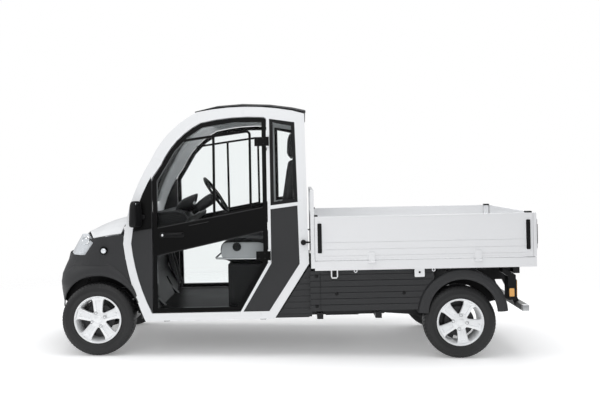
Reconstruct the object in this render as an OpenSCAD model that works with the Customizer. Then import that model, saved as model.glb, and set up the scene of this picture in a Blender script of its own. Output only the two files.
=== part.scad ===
// Electric utility truck: two-seat cab on a ladder frame, with an aluminium dropside bed.
// X runs from the nose to the tail, Y to the vehicle's right, Z up, in millimetres.
// The body is laid out level, with X measured from the front axle, and set on its wheels by the rake.

/* [Stance] */
// Distance between the front and rear axles
wheelbase = 2908; // [2700:1:3100]
// Nose-down lean of the body on its wheels, degrees
rake = 1.55; // [0:0.05:2]
// Height of the level body's datum over the ground at the front axle
lift = 6; // [0:1:25]
// Distance between the wheel centre planes
track = 1206; // [1180:1:1240]

/* [Wheels] */
// Tyre outside radius
tyre_r = 291; // [280:1:298]
// Tyre section width
tyre_w = 165; // [145:1:175]
// Radius of the rim's outer flange
rim_r = 190; // [184:1:196]
// Number of wide spokes
spoke_count = 5; // [4:1:7]
// Wheel bolt circle radius
bolt_circle_r = 50; // [44:1:56]
// Largest steering angle of a front wheel, degrees
steer_max = 32; // [20:1:35]

/* [Cab] */
// Half width of the cab over its sills
side_y = 700; // [680:1:720]
// Inward lean of the cab sides, degrees
lean = 3.5; // [0:0.5:5]
// Height of the sill's underside
sill_z = 270; // [250:1:290]
// Thickness of the side hoops, across the cab
hoop_t = 70; // [50:1:80]
// Width of the hoop's tube seen from the side
hoop_w = 75; // [65:1:85]
// Width of the slim strip between the door and the quarter window
strip_w = 22; // [18:1:30]
// Thickness of the floor sheet
floor_t = 14; // [8:1:20]
// Thickness of the windows
glass_t = 6; // [4:0.5:8]

/* [Doors] */
// Thickness of a door
door_t = 38; // [30:1:45]
// Gap between a door and the frame round it
door_gap = 6; // [5:0.5:8]
// Width of a door's outer frame
door_rail = 34; // [26:1:44]
// Radius of the hinge pins
pin_r = 6; // [4:0.5:8]

/* [Bed] */
// Length of the bed over its end boards
bed_l = 1764; // [1640:1:1860]
// Width of the bed over its side boards
bed_w = 1480; // [1400:1:1500]
// Height of the boards
board_h = 348; // [260:1:400]
// Thickness of the boards
board_t = 26; // [20:1:32]
// Height of the rail round the bed floor
bed_rail_h = 75; // [60:1:110]

/* [Hidden] */
$fn = 48;
EPS = 0.01;

// Places that follow from the sizes above
axle_z = (tyre_r - lift) / cos(rake);
rear_axle_z = (tyre_r - lift - wheelbase * sin(rake)) / cos(rake);
rear_axle_x = wheelbase;
bed_x0 = 1750;
bed_x1 = bed_x0 + bed_l;
bed_z0 = 650;
bed_y = bed_w / 2;
board_z0 = bed_z0 + bed_rail_h + 5;
board_z1 = board_z0 + board_h;
nose_x = -415;
nose_z = 560;
tail_x = bed_x1;
front_end = nose_x * cos(rake) - nose_z * sin(rake);
rear_end = (tail_x + 22) * cos(rake) - (bed_z0 + bed_rail_h - 22) * sin(rake);
origin_x = (front_end + rear_end) / 2;

// Points on the circle through a, b and c, from a to c
function circle_centre(a, b, c) =
    let (
        d = 2 * (a[0] * (b[1] - c[1]) + b[0] * (c[1] - a[1]) + c[0] * (a[1] - b[1])),
        sa = a * a,
        sb = b * b,
        sc = c * c
    ) [
        (sa * (b[1] - c[1]) + sb * (c[1] - a[1]) + sc * (a[1] - b[1])) / d,
        (sa * (c[0] - b[0]) + sb * (a[0] - c[0]) + sc * (b[0] - a[0])) / d
    ];
function turn(from, to, way) =
    let (raw = to - from)
    way > 0 ? (raw < 0 ? raw + 360 : raw) : (raw > 0 ? raw - 360 : raw);
function arc3(a, b, c, steps) =
    let (
        m = circle_centre(a, b, c),
        r = norm(a - m),
        way = (b[0] - a[0]) * (c[1] - a[1]) - (b[1] - a[1]) * (c[0] - a[0]),
        start = atan2(a[1] - m[1], a[0] - m[0]),
        sweep = turn(start, atan2(c[1] - m[1], c[0] - m[0]), way)
    ) [for (i = [0:steps]) m + r * [
        cos(start + sweep * i / steps),
        sin(start + sweep * i / steps)
    ]];
// The path without its first point
function tail(path) = [for (i = [1:len(path) - 1]) path[i]];
function corner(c, r, from, to, steps = 4) =
    [for (i = [0:steps]) let (t = from + (to - from) * i / steps) c + r * [cos(t), sin(t)]];
// Value of a two-column table at q, straight between its rows
function table_at(rows, q, i = 0) =
    q <= rows[0][0] ? rows[0][1]
    : i >= len(rows) - 1 ? rows[len(rows) - 1][1]
    : q <= rows[i + 1][0]
        ? rows[i][1] + (rows[i + 1][1] - rows[i][1]) * (q - rows[i][0])
            / (rows[i + 1][0] - rows[i][0])
    : table_at(rows, q, i + 1);

// Side view of the cab, [x, z]. The hoop's outer edge goes up the front, over and down the back.
sill_front = [388, sill_z];
waist_front = [213, 890];
brow = [438, 1558];
roof_front = [822, 1944];
roof_mid = [1172, 1979];
roof_rear = [1590, 1941];
roof_tip = [1688, 1914];
kink = [1703, 702];
sill_rear = [1421, sill_z];
front_edge = concat(
    arc3(sill_front, [270, 598], waist_front, 6),
    tail(arc3(waist_front, [262, 1168], brow, 7))
);
roof_edge = concat(
    tail(arc3(brow, [588, 1778], roof_front, 7)),
    tail(arc3(roof_front, roof_mid, roof_rear, 6))
);
hoop_outline = concat(front_edge, roof_edge, [roof_tip, kink, sill_rear]);

// The door opening, inside the hoop
open_sill_z = sill_z + 60;
strip_x = 1379;
opening_front = [441, open_sill_z];
opening_waist = [276, 890];
opening_brow = [520, 1520];
opening_top_front = [845, 1856];
opening_top_mid = [1110, 1895];
opening_rear_top = [1350, 1893];
slant_top = [strip_x, 722];
slant_foot = [1149, open_sill_z];
opening = concat(
    arc3(opening_front, [326, 628], opening_waist, 6),
    tail(arc3(opening_waist, [336, 1180], opening_brow, 6)),
    tail(arc3(opening_brow, [655, 1718], opening_top_front, 6)),
    tail(arc3(opening_top_front, opening_top_mid, opening_rear_top, 4)),
    corner([strip_x - 26, 1867], 26, 80, 0, 3),
    [slant_top, slant_foot]
);

// Cut-outs of the quarter window and the panel below it
quarter_window = [[1402, 1878], [1607, 1846], [1622, 1198], [1402, 1174]];
quarter_hole = [
    [strip_x + strip_w, 1144], [1619, 1170], [1628, 702], [1379, open_sill_z],
    [1149 + strip_w, open_sill_z], [strip_x + strip_w, 722 - strip_w / 2]
];

door_front_x = 452;
belt_front = [door_front_x, 1004];
belt_rear = [strip_x - door_gap, 1166];
band_lower_front = [door_front_x, 781];
band_lower_rear = [strip_x - door_gap, 976];
hinge_x = 1387;
hinge_out = 16;
hinge_zs = [1692, 772];
hinge_h = 98;

// Puts children, drawn in the x-z plane with their outer face at y = 0, on the right side of the cab
module side_plane(inset = 0) {
    translate([0, side_y, sill_z])
        rotate([lean, 0, 0])
            translate([0, -inset, -sill_z])
                children();
}
module plate(t) {
    rotate([90, 0, 0]) linear_extrude(t) children();
}
module both_sides() {
    children();
    mirror([0, 1, 0]) children();
}
module block(low, high) {
    translate(low) cube(high - low);
}
// Half width between the hoops at height z
function inner_y(z) = side_y - hoop_t / cos(lean) - (z - sill_z) * tan(lean);
// Height along the leaning side of a point at height z, and the other way round
function lean_up(z) = sill_z + (z - sill_z) / cos(lean);
function lean_z(z) = sill_z + (z - sill_z) * cos(lean);
function skin_y(z) = side_y - (z - sill_z) * tan(lean);
// A closed sheet between two grids of points with the same rows and columns
module sheet_between(outer, inner) {
    rows = len(outer);
    cols = len(outer[0]);
    n = rows * cols;
    function at(r, c) = r * cols + c;
    points = concat([for (row = outer) each row], [for (row = inner) each row]);
    skins = [for (r = [0:rows - 2], c = [0:cols - 2]) each [
        [at(r, c), at(r, c + 1), at(r + 1, c + 1)],
        [at(r, c), at(r + 1, c + 1), at(r + 1, c)],
        [n + at(r, c), n + at(r + 1, c + 1), n + at(r, c + 1)],
        [n + at(r, c), n + at(r + 1, c), n + at(r + 1, c + 1)]
    ]];
    ends = [for (c = [0:cols - 2]) each [
        [at(0, c), n + at(0, c), n + at(0, c + 1)],
        [at(0, c), n + at(0, c + 1), at(0, c + 1)],
        [at(rows - 1, c), at(rows - 1, c + 1), n + at(rows - 1, c + 1)],
        [at(rows - 1, c), n + at(rows - 1, c + 1), n + at(rows - 1, c)]
    ]];
    sides = [for (r = [0:rows - 2]) each [
        [at(r, 0), at(r + 1, 0), n + at(r + 1, 0)],
        [at(r, 0), n + at(r + 1, 0), n + at(r, 0)],
        [at(r, cols - 1), n + at(r, cols - 1), n + at(r + 1, cols - 1)],
        [at(r, cols - 1), n + at(r + 1, cols - 1), at(r + 1, cols - 1)]
    ]];
    polyhedron(points, concat(skins, ends, sides), convexity = 6);
}

// The rear fender's circle; the frame's tail, the lamps and the bumper stand behind it
flare_x = rear_axle_x + 20;
flare_z = 276;
flare_in = 276;
flare_out = 362;
flare_y = track / 2 + tyre_w / 2 + 4.5;
rail_rear_end = flare_x + flare_out + 114;

// Frame, floor and heavy masses
rail_y = track / 2 - 273;
rail_w = 60;
rail_h = 90;
rail_low = 232;
rail_front_z = 400;
rail_rear_z = 500;
deck_low = bed_z0 + bed_rail_h - 22;
skirt_y = side_y - 6;
bearer_y = skirt_y - 31;
bumper_bar = [54, 46];
bumper_bar_z = 266;
module chassis_frame() {
    color("dimgray") {
        both_sides() translate([0, rail_y + rail_w / 2, 0]) plate(rail_w) polygon([
            [-300, rail_front_z], [300, rail_front_z], [470, rail_low], [rear_axle_x - 578, rail_low],
            [rear_axle_x - 388, rail_rear_z], [rail_rear_end, rail_rear_z],
            [rail_rear_end, rail_rear_z + rail_h], [rear_axle_x - 428, rail_rear_z + rail_h],
            [rear_axle_x - 618, rail_low + rail_h], [500, rail_low + rail_h],
            [330, rail_front_z + rail_h], [-300, rail_front_z + rail_h]
        ]);
        for (x = [-300, 700, 1050, 1720])
            translate([x, -rail_y, x < 0 ? rail_front_z + 15 : rail_low + 15])
                cube([60, 2 * rail_y, 60]);
        for (x = [rear_axle_x - 308, rear_axle_x + 92, rail_rear_end - 60])
            translate([x, -rail_y, rail_rear_z + 15]) cube([60, 2 * rail_y, 60]);
        // Outriggers carry the cab sills and the skirts
        for (x = [520, 1300]) both_sides()
            translate([x, rail_y, rail_low + 20]) cube([50, inner_y(302) - rail_y, 50]);
        for (x = [1760, 2230]) both_sides()
            translate([x, rail_y, rail_low + 20]) cube([50, skirt_y - 30 - rail_y, 50]);
        // Bearers under the bed floor
        for (x = [rear_axle_x - 428, rail_rear_end - 60])
            translate([x, -bearer_y, rail_rear_z + rail_h])
                cube([50, 2 * bearer_y, deck_low - rail_rear_z - rail_h]);
        translate([rear_axle_x + 42, -rail_y - 120, rail_rear_z + rail_h])
            cube([50, 2 * rail_y + 240, deck_low - rail_rear_z - rail_h]);
        for (x = [bed_x0 + 50, bed_x0 + 400]) both_sides()
            translate([x, rail_y - 25, rail_low + rail_h - 1])
                cube([50, 50, deck_low - rail_low - rail_h + 1]);
        // Rear bumper bar on two hangers
        translate([rail_rear_end + 38, -560, bumper_bar_z]) cube([bumper_bar[0], 1120, bumper_bar[1]]);
        both_sides() translate([0, rail_y + 12, 0]) plate(24) polygon([
            [rail_rear_end - 70, rail_rear_z], [rail_rear_end, rail_rear_z],
            [rail_rear_end + 86, bumper_bar_z + 2], [rail_rear_end + 40, bumper_bar_z + 2]
        ]);
    }
}

floor_z = 322;
toe_top = [330, 760];
bonnet_pin = [186, 1053];
module floor_pan() {
    color("black") {
        difference() {
            rotate([90, 0, 0]) translate([0, 0, -side_y])
                linear_extrude(2 * side_y) polygon([
                    [450, floor_z], [1700, floor_z], [1700, floor_z + floor_t],
                    [458, floor_z + floor_t], [toe_top[0] + floor_t, toe_top[1] - 200],
                    [toe_top[0] + floor_t, toe_top[1] + 240], [toe_top[0], toe_top[1] + 240],
                    [toe_top[0], toe_top[1] - 204]
                ]);
            // The leaning hoops, the rails and the wheels stay clear
            both_sides() side_plane(hoop_t + 0.4) translate([-500, 0, 0]) cube([3000, 300, 1500]);
            both_sides() block([290, rail_y - rail_w / 2 - 1, 200],
                [504, rail_y + rail_w / 2 + 1, rail_front_z + rail_h + 1]);
            both_sides() translate([0, inner_y(floor_z) + 120, axle_z])
                rotate([90, 0, 0]) cylinder(h = 340, r = 366);
        }
        // Brackets and pins of the bonnet hinge
        both_sides() {
            translate([0, 334, 0]) plate(8) polygon([
                [178, 1056], [178, 1004], [334, 935], [334, 975], [196, 1028], [194, 1056]
            ]);
            translate([bonnet_pin[0], 274, bonnet_pin[1]]) rotate([-90, 0, 0]) cylinder(h = 60, r = 6);
        }
    }
}

module battery_pack() {
    color("darkslategray")
        block([1120, -rail_y + rail_w / 2, 200], [1700, rail_y - rail_w / 2, 318]);
    color("darkslategray")
        block([1840, -rail_y + rail_w / 2, 215], [2120, rail_y - rail_w / 2, 470]);
}

// Cab
module cab_frame() {
    color("white") {
        both_sides() {
            side_plane() plate(hoop_t) difference() {
                polygon(hoop_outline);
                polygon(opening);
                polygon(quarter_window);
                polygon(quarter_hole);
            }
            body_hinges();
        }
        // Header over the windscreen, roof bow at the back and the cross rail under it
        header(roof_front[0] + 6, 60, 46);
        header(roof_rear[0] + 10, 62, 60);
    }
}
// A rail between the hoops, just under the roof's edge
module header(x, width, depth) {
    top = lean_z(table_at(roof_edge, x)) - 12;
    y = inner_y(top - depth) + 14;
    translate([x, -y, top - depth]) cube([width, 2 * y, depth]);
}
// The two fixed ears and the pin of each door hinge
module body_hinges() {
    for (z = hinge_zs) side_plane() {
        for (s = [-1, 1])
            translate([hinge_x, hinge_out, z + s * (hinge_h / 2 - 6) - 6]) {
                union() {
                    cylinder(h = 12, r = 12);
                    translate([0, -hinge_out - 20, 0]) cube([11.5, hinge_out + 20, 12]);
                }
            }
        translate([hinge_x, hinge_out, z - hinge_h / 2]) cylinder(h = hinge_h, r = pin_r);
    }
}

roof_thick = 26;
roof_crown = 46;
roof_stations = [800, 960, 1172, 1400, 1590, 1700];
roof_cols = 10;
module roof_panel() {
    function edge_z(x) = lean_z(table_at(roof_edge, x) - (x > 1690 ? 26 : 0));
    function row(x, up) = [for (c = [-roof_cols:2:roof_cols])
        let (t = c / roof_cols, z0 = edge_z(x), y = skin_y(z0) - 10)
        [x, y * t, z0 + up + roof_crown * (1 - pow(abs(t), 2.4)) * (x < 810 ? 0.75 : 1)]];
    color("black")
        sheet_between([for (x = roof_stations) row(x, 14.8)], [for (x = roof_stations) row(x, 6.8)]);
}

rear_wall_x = 1640;
rear_wall_t = 30;
module rear_wall() {
    low = floor_z + floor_t;
    high = 1860;
    color("black") difference() {
        translate([rear_wall_x, 0, 0]) rotate([90, 0, 90]) linear_extrude(rear_wall_t)
            difference() {
                polygon([
                    [-inner_y(low) + 2, low], [inner_y(low) - 2, low],
                    [inner_y(high) - 2, high], [-inner_y(high) + 2, high]
                ]);
                polygon(rear_window_outline(0));
            }
    }
}
function rear_window_outline(gap) = let (low = 1210 + gap, high = 1800 - gap, r = 50) concat(
    corner([inner_y(low) - 110 - gap, low + r], r, -90, 0),
    corner([inner_y(high) - 110 - gap, high - r], r, 0, 90),
    corner([-inner_y(high) + 110 + gap, high - r], r, 90, 180),
    corner([-inner_y(low) + 110 + gap, low + r], r, 180, 270)
);

// Windscreen: rows up the hoop's front edge, bowed forward across the middle
screen_bow = 46;
screen_foot_z = 1098;
screen_cols = 8;
screen_edge = [for (p = concat(front_edge, roof_edge)) if (p[1] > screen_foot_z && p[0] < 800) p];
function screen_bow_at(i) = screen_bow * (1 - i / (len(screen_edge) - 1) * 0.6);
module cab_glass() {
    function row(i, back) =
        let (
            p = [screen_edge[i][0], lean_z(screen_edge[i][1])],
            y = inner_y(p[1]) - 0.4,
            bow = screen_bow_at(i)
        ) [for (c = [-screen_cols:2:screen_cols]) let (t = c / screen_cols)
            [p[0] + 16 + back - bow * (1 - t * t), y * t, p[1] - back * 0.4]];
    rows = [for (i = [0:len(screen_edge) - 1]) i];
    color([0.6, 0.7, 0.72, 0.4]) {
        sheet_between([for (i = rows) row(i, 0)], [for (i = rows) row(i, glass_t)]);
        translate([rear_wall_x + 12, 0, 0]) rotate([90, 0, 90]) linear_extrude(glass_t)
            polygon(rear_window_outline(2));
        both_sides() side_plane(16) plate(glass_t) polygon(inset_quad(quarter_window, 28.2));
    }
}
// A four-sided outline moved inwards by about d
function inset_quad(q, d) = [
    q[0] + [d, -d], q[1] + [-d, -d], q[2] + [-d, d], q[3] + [d, d]
];

module quarter_frames() {
    color("black") both_sides() side_plane(4) plate(32) difference() {
        polygon(inset_quad(quarter_window, 0.3));
        polygon(inset_quad(quarter_window, 28));
    }
}

panel_gap = 0.4;
module side_panels() {
    color("dimgray") both_sides() {
        // Panel behind the door
        side_plane(5) plate(24) polygon([
            quarter_hole[0] + [panel_gap, -panel_gap], quarter_hole[1] + [-panel_gap, -panel_gap],
            quarter_hole[2] + [-panel_gap, 0], quarter_hole[3] + [-panel_gap, panel_gap],
            quarter_hole[4] + [panel_gap, panel_gap], quarter_hole[5] + [panel_gap, 0]
        ]);
        // Panel ahead of the door, and the sail that carries the mirror
        side_plane(5) plate(24) polygon(concat(
            [for (p = opening) if (p[1] < 985 && p[0] < 430) p + [panel_gap, 0]],
            [[293, 994], [446, 1004], [446, open_sill_z + 0.4]]
        ));
        side_plane(8) plate(20) polygon(concat(
            [[446, 1004.3], [293, 994.3]],
            [for (p = opening) if (p[1] > 997 && p[0] < 442) p + [panel_gap, 0]],
            [[446, 1396]]
        ));
    }
}

module mirrors() {
    color("black") both_sides() {
        translate([345, skin_y(1130) + 34, 1022]) rotate([0, 0, 20]) difference() {
            linear_extrude(212) polygon([
                [-38, 4], [-18, -4], [26, 0], [38, 20], [38, 96], [28, 116], [8, 122], [-24, 100]
            ]);
            translate([32, 14, 14]) cube([20, 84, 184]);
        }
        translate([366, skin_y(1130) - 6, 1118]) rotate([-90, 0, 0]) cylinder(h = 60, r = 17);
    }
}

// Nose
hood_cols = 12;
// [x at the middle, z at the middle, x at the edge, y at the edge, z at the edge]
bonnet_rows = [
    [196, 1088, 192, 640, 972],
    [110, 1077, 110, 638, 962],
    [20, 1053, 20, 632, 948],
    [-75, 1016, -38, 618, 938],
    [-150, 976, -100, 476, 984],
    [-222, 915, -178, 430, 918],
    [-270, 850, -224, 418, 852],
    [-292, 812, -246, 415, 814]
];
bonnet_t = 5;
module bonnet() {
    function row(r, drop) = [for (c = [-hood_cols:2:hood_cols]) let (t = -c / hood_cols)
        [
            r[0] + (r[2] - r[0]) * pow(abs(t), 2.2) + drop * (r[1] < 1000 ? 0.8 : 0.1),
            (r[3] - drop * 0.6) * t,
            r[1] + (r[4] - r[1]) * pow(abs(t), 3) - drop * (r[1] < 900 ? 0.35 : 1)
        ]];
    color("white") {
        sheet_between([for (r = bonnet_rows) row(r, 0)], [for (r = bonnet_rows) row(r, bonnet_t)]);
        // Hinge eyes under the rear edge
        both_sides() difference() {
            translate([bonnet_pin[0], 280, bonnet_pin[1]]) rotate([-90, 0, 0]) union() {
                cylinder(h = 40, r = 10);
                translate([-6, -18.5, 0]) cube([12, 18.5, 36]);
            }
            translate([bonnet_pin[0], 270, bonnet_pin[1]]) rotate([-90, 0, 0])
                cylinder(h = 60, r = 6.05);
        }
    }
}

// The fascia wraps the nose in plan; its front follows this table of [z, x]
fascia_front = [[392, -396], [470, -408], [nose_z, nose_x], [645, -401], [727, -352], [806, -330]];
fascia_t = 5;
fascia_steps = 22;
fascia_rows = 7;
arch_r = 355;
function hoop_front_x(z) = table_at([for (p = front_edge) [p[1], p[0]]], z);
// Top edge of the fascia by plan angle: low under the lamps, high along the bonnet
function fascia_top(a) = table_at([[0, 804], [44, 800], [50, 860], [56, 922], [66, 932], [90, 962]], abs(a));
function fascia_low(a) = table_at([[0, 392], [46, 392], [60, 300], [90, 282]], abs(a));
function fascia_point(a, z, drop) =
    let (
        rear = hoop_front_x(lean_up(z)) - 5,
        front = table_at(fascia_front, min(z, 806)) + (z > 806 ? (z - 806) * 0.5 : 0),
        half = skin_y(max(z, sill_z)) - drop
    ) [
        rear - (rear - front - drop) * pow(cos(a), 0.75),
        half * (a < 0 ? -1 : 1) * pow(abs(sin(a)), 0.6),
        z
    ];
module front_fascia() {
    function column(a, drop) = [for (i = [0:fascia_rows])
        fascia_point(a, fascia_low(a) + (fascia_top(a) - fascia_low(a)) * i / fascia_rows, drop)];
    angles = [for (i = [-fascia_steps:fascia_steps]) -90 * i / fascia_steps];
    color("dimgray") difference() {
        sheet_between([for (a = angles) column(a, 0)], [for (a = angles) column(a, fascia_t)]);
        translate([0, -side_y - 50, axle_z]) rotate([-90, 0, 0])
            cylinder(h = 2 * side_y + 100, r = arch_r, $fn = 160);
        for (s = [-1, 1]) translate([250, s * 640 - 120, 240]) cube([200, 240, 150]);
        // Room for the lamps
        both_sides() translate([0, lamp_out + 100, 0]) plate(lamp_out + 101 - lamp_in) polygon([
            [-160, 974], [-82, 930], [-39, 898], [-114, 796], [-250, 800], [-250, 816]
        ]);
        both_sides() translate([55, skin_y(837) - 40, 837]) rotate([-90, 0, 0])
            cylinder(h = 80, r = 26.4);
    }
}

// A lamp on each front corner, seen as a slanted four-sided lens
// [x, z at the inner side, z at the outer side]
lamp_face = [[-140, 962, 922], [-92, 908, 896], [-168, 806, 798], [-226, 812, 804]];
lamp_in = 486;
lamp_out = 585;
module front_lamps() {
    color([0.9, 0.92, 0.95]) both_sides() {
        hull() {
            for (p = lamp_face) translate([p[0] - 22, lamp_in, p[1]]) cube([50, 1, 1]);
            for (p = lamp_face) translate([p[0] + 22, lamp_out - 1, p[2]]) cube([30, 1, 1]);
        }
        translate([55, skin_y(837) - 14, 837]) rotate([-90, 0, 0]) cylinder(h = 20, r = 26);
    }
}

// Inside the cab
cowl_z = 1083;
// The steering column's jacket, from just below the wheel's hub
module column(r, extra = 0) {
    translate(wheel_hub) rotate([0, -90 - column_angle, 0]) translate([0, 0, 22])
        cylinder(h = 226 + extra, r = r);
}
module dashboard() {
    y = inner_y(1130) - 6;
    color("black") {
        difference() {
            rotate([90, 0, 0]) translate([0, 0, -y]) linear_extrude(2 * y) polygon([
                [344.3, 900], [344.3, 1085], [420, 1118], [640, 1128], [700, 1108], [712, 1060],
                [640, 960], [560, 900]
            ]);
            column(30.3, 40);
        }
        // Instrument pod over the column
        difference() {
            translate([690, -350, 1128]) rotate([0, -60, 0]) cylinder(h = 70, r = 74);
            column(30.3, 40);
        }
        // Cowl under the windscreen
        translate([0, 0, cowl_z]) linear_extrude(10) polygon(concat(
            [for (c = [-screen_cols:2:screen_cols]) let (t = c / screen_cols)
                [screen_edge[0][0] + 24 - screen_bow_at(0) * (1 - t * t), y * t]],
            [[400, y], [400, -y]]
        ));
    }
}

wheel_hub = [934, -350, 1257];
column_angle = 34;
module driver_controls() {
    color("black") {
        column(30);
        for (y = [-410, -300]) {
            translate([0, y + 6, 0]) plate(12) polygon([
                [520, 899.5], [545, 899.5], [560, 780], [628, 520], [606, 515], [535, 775]
            ]);
            translate([606, y - 35, 480]) rotate([0, 14, 0]) cube([14, 70, 60]);
        }
    }
}
module steering_wheel() {
    color("black") translate(wheel_hub) rotate([0, -90 - column_angle, 0]) {
        rotate_extrude() translate([168, 0]) circle(r = 13, $fn = 20);
        cylinder(h = 21.7, r = 26);
        translate([0, 0, -14]) cylinder(h = 20, r = 52);
        for (a = [90, 210, 330]) rotate([0, 0, a])
            translate([40, -14, -6]) cube([122, 28, 10]);
    }
}

seat_y = 330;
module seat_base() {
    color("black") difference() {
        block([1045, -590, floor_z + floor_t], [rear_wall_x - 0.5, 590, 695.5]);
        for (s = [-1, 1]) translate([1080, s * 600 - 20, 380]) cube([480, 40, 250]);
    }
}
// One seat, [x, z] outline of its cushion and of its back
module seats() {
    color("gray") both_sides() translate([0, seat_y, 0]) {
        translate([0, 240, 0]) plate(480) polygon([
            [960, 790], [975, 880], [1060, 905], [1400, 880], [1420, 770], [1380, 700],
            [1060, 696], [980, 730]
        ]);
        translate([0, 214, 0]) plate(428) polygon([
            [1395, 790], [1420, 890], [1500, 1250], [1548, 1540], [1600, 1560],
            [1625, 1500], [1570, 1150], [1530, 800], [1490, 740], [1421, 760]
        ]);
        translate([0, 120, 0]) plate(240) polygon([
            [1538, 1545], [1540, 1700], [1556, 1775], [1596, 1785], [1622, 1740],
            [1618, 1600], [1600, 1561]
        ]);
    }
}

// Running gear
kingpin_y = track / 2 - 42;
arm_x = 105;
arm_z = axle_z + 17;
rack_z = arm_z + 21;
coil_x = -90;
coil_y = rail_y + 67;
// Half width of the drive unit, and the inner pivots of the lower and upper arms
unit_y = 190;
low_pivot_y = rail_y - 32;
top_pivot_y = rail_y + 30.3;
module drive_unit() {
    color("gray") {
        block([-150, -unit_y, 262], [80, unit_y, 392]);
        both_sides() translate([0, unit_y - 1, axle_z]) rotate([-90, 0, 0])
            cylinder(h = kingpin_y - unit_y - 79, r = 16);
        both_sides() translate([0, kingpin_y - 100, axle_z]) rotate([-90, 0, 0])
            cylinder(h = 58, r1 = 24, r2 = 40);
        // Feet on the subframe
        for (x = [-140, 36]) translate([x, -150, 250.3]) cube([30, 300, 12.7]);
    }
}
module front_suspension() {
    color("dimgray") {
        // Subframe under the drive unit, hung from the rails
        difference() {
            block([-150, -rail_y + 30, 196], [200, rail_y - 30, 250]);
            block([-100, -rail_y + 70, 195], [150, rail_y - 70, 251]);
        }
        block([30, -rail_y + 68, 204], [72, rail_y - 68, 250]);
        both_sides() {
            block([-150, rail_y - 50, 240], [-100, rail_y - 10, rail_front_z]);
            block([150, rail_y - 50, 240], [190, rail_y - 10, rail_front_z]);
            // Lower arm and its ball stud
            translate([0, 0, 200]) linear_extrude(22) difference() {
                polygon([
                    [-140, low_pivot_y], [140, low_pivot_y], [140, rail_y], [30, kingpin_y + 20],
                    [-30, kingpin_y + 20], [-140, rail_y]
                ]);
                polygon([
                    [-95, rail_y + 5], [95, rail_y + 5],
                    [20, kingpin_y - 70], [-20, kingpin_y - 70]
                ]);
            }
            translate([0, kingpin_y, 221]) cylinder(h = 7.6, r = 14);
            // Upper arm and its ball stud
            translate([0, 0, 411]) linear_extrude(20) difference() {
                polygon([
                    [-46, top_pivot_y], [46, top_pivot_y], [44, rail_y + 100],
                    [22, kingpin_y + 18],
                    [-22, kingpin_y + 18], [-44, rail_y + 100]
                ]);
                polygon([
                    [-28, rail_y + 42], [28, rail_y + 42], [26, rail_y + 110],
                    [7, kingpin_y - 51], [-7, kingpin_y - 51], [-26, rail_y + 110]
                ]);
            }
            translate([0, kingpin_y, 404.4]) cylinder(h = 7.6, r = 14);
            // Coil and damper between the lower arm and a tower on the rail
            translate([coil_x, coil_y, 221]) cylinder(h = 300, r = 14);
            translate([coil_x, coil_y, 287]) spring_coil(29, 7, 209, 7);
            translate([coil_x, coil_y, 282]) cylinder(h = 6, r = 35);
            translate([coil_x, coil_y, 495]) cylinder(h = 8, r = 35);
            translate([coil_x - 45, rail_y, 503]) cube([90, 100, 8]);
            translate([coil_x - 45, rail_y, rail_front_z + rail_h + 0.3]) cube([90, 30, 14]);
            // Bracket that holds the rack
            translate([0, rail_y - 100, 0]) plate(30) difference() {
                polygon([[86, 300], [140, 300], [140, 240], [165, 240], [165, 343], [86, 343]]);
                translate([arm_x, rack_z]) circle(r = 11.3);
            }
        }
    }
}
// A coil as one ribbed sleeve
module spring_coil(r, wire_r, h, turns) {
    pitch = h / turns;
    rotate_extrude($fn = 48) polygon(concat(
        [for (i = [0:turns - 1]) each [[r, i * pitch], [r + wire_r, (i + 0.5) * pitch]]],
        [[r, h], [r - wire_r, h], [r - wire_r, 0]]
    ));
}
module steering_rack() {
    color("silver") {
        translate([arm_x, -rail_y, rack_z]) rotate([-90, 0, 0]) cylinder(h = 2 * rail_y, r = 11);
        both_sides() {
            translate([arm_x, rail_y - 10, rack_z]) rotate([-90, 0, 0])
                cylinder(h = kingpin_y - rail_y + 10, r = 8);
            translate([arm_x, kingpin_y, arm_z + 12]) cylinder(h = 18, r = 15);
        }
    }
}
module knuckle() {
    color("dimgray") {
        // Hub carrier round the kingpin line
        translate([0, kingpin_y, 229]) cylinder(h = 175, r = 24);
        translate([0, kingpin_y - 8, axle_z]) rotate([-90, 0, 0]) cylinder(h = 48, r = 44);
        // Stub axle and steering arm
        translate([0, kingpin_y + 39, axle_z]) rotate([-90, 0, 0]) cylinder(h = 62, r = 15);
        translate([0, kingpin_y - 10, arm_z - 14]) cube([arm_x, 20, 18]);
        translate([arm_x, kingpin_y, arm_z - 14]) cylinder(h = 18, r = 16);
    }
}
rear_pivot = [rear_axle_x - 573, 285];
damper_x = rear_axle_x - 108;
stub_y = rail_y + 100;
module rear_suspension() {
    color("dimgray") both_sides() {
        // Trailing arm with its pivot on the rail, and the stub axle
        translate([0, stub_y + 2, 0]) plate(50) polygon([
            rear_pivot + [-34, 0], rear_pivot + [0, 34], [rear_axle_x - 208, 300],
            [rear_axle_x + 36, rear_axle_z + 44], [rear_axle_x + 40, rear_axle_z - 40],
            [rear_axle_x - 208, 222], rear_pivot + [0, -34]
        ]);
        translate([rear_pivot[0], rail_y + 30.3, rear_pivot[1]]) rotate([-90, 0, 0])
            cylinder(h = 90, r = 26);
        translate([rear_axle_x, stub_y, rear_axle_z]) rotate([-90, 0, 0])
            cylinder(h = kingpin_y + 101 - stub_y, r = 15);
        translate([rear_axle_x, stub_y, rear_axle_z]) rotate([-90, 0, 0])
            cylinder(h = kingpin_y + 40 - stub_y, r = 44);
        // Damper and spring
        translate([damper_x, rail_y + 77, 280]) cylinder(h = 220, r = 22);
        translate([damper_x, rail_y + 77, 303]) spring_coil(40, 8, 193, 6);
        translate([damper_x - 50, rail_y + 30.3, 495]) cube([100, 109.7, 14]);
        translate([damper_x - 40, rail_y + 40, 290]) cube([80, 80, 14]);
    }
}

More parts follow.
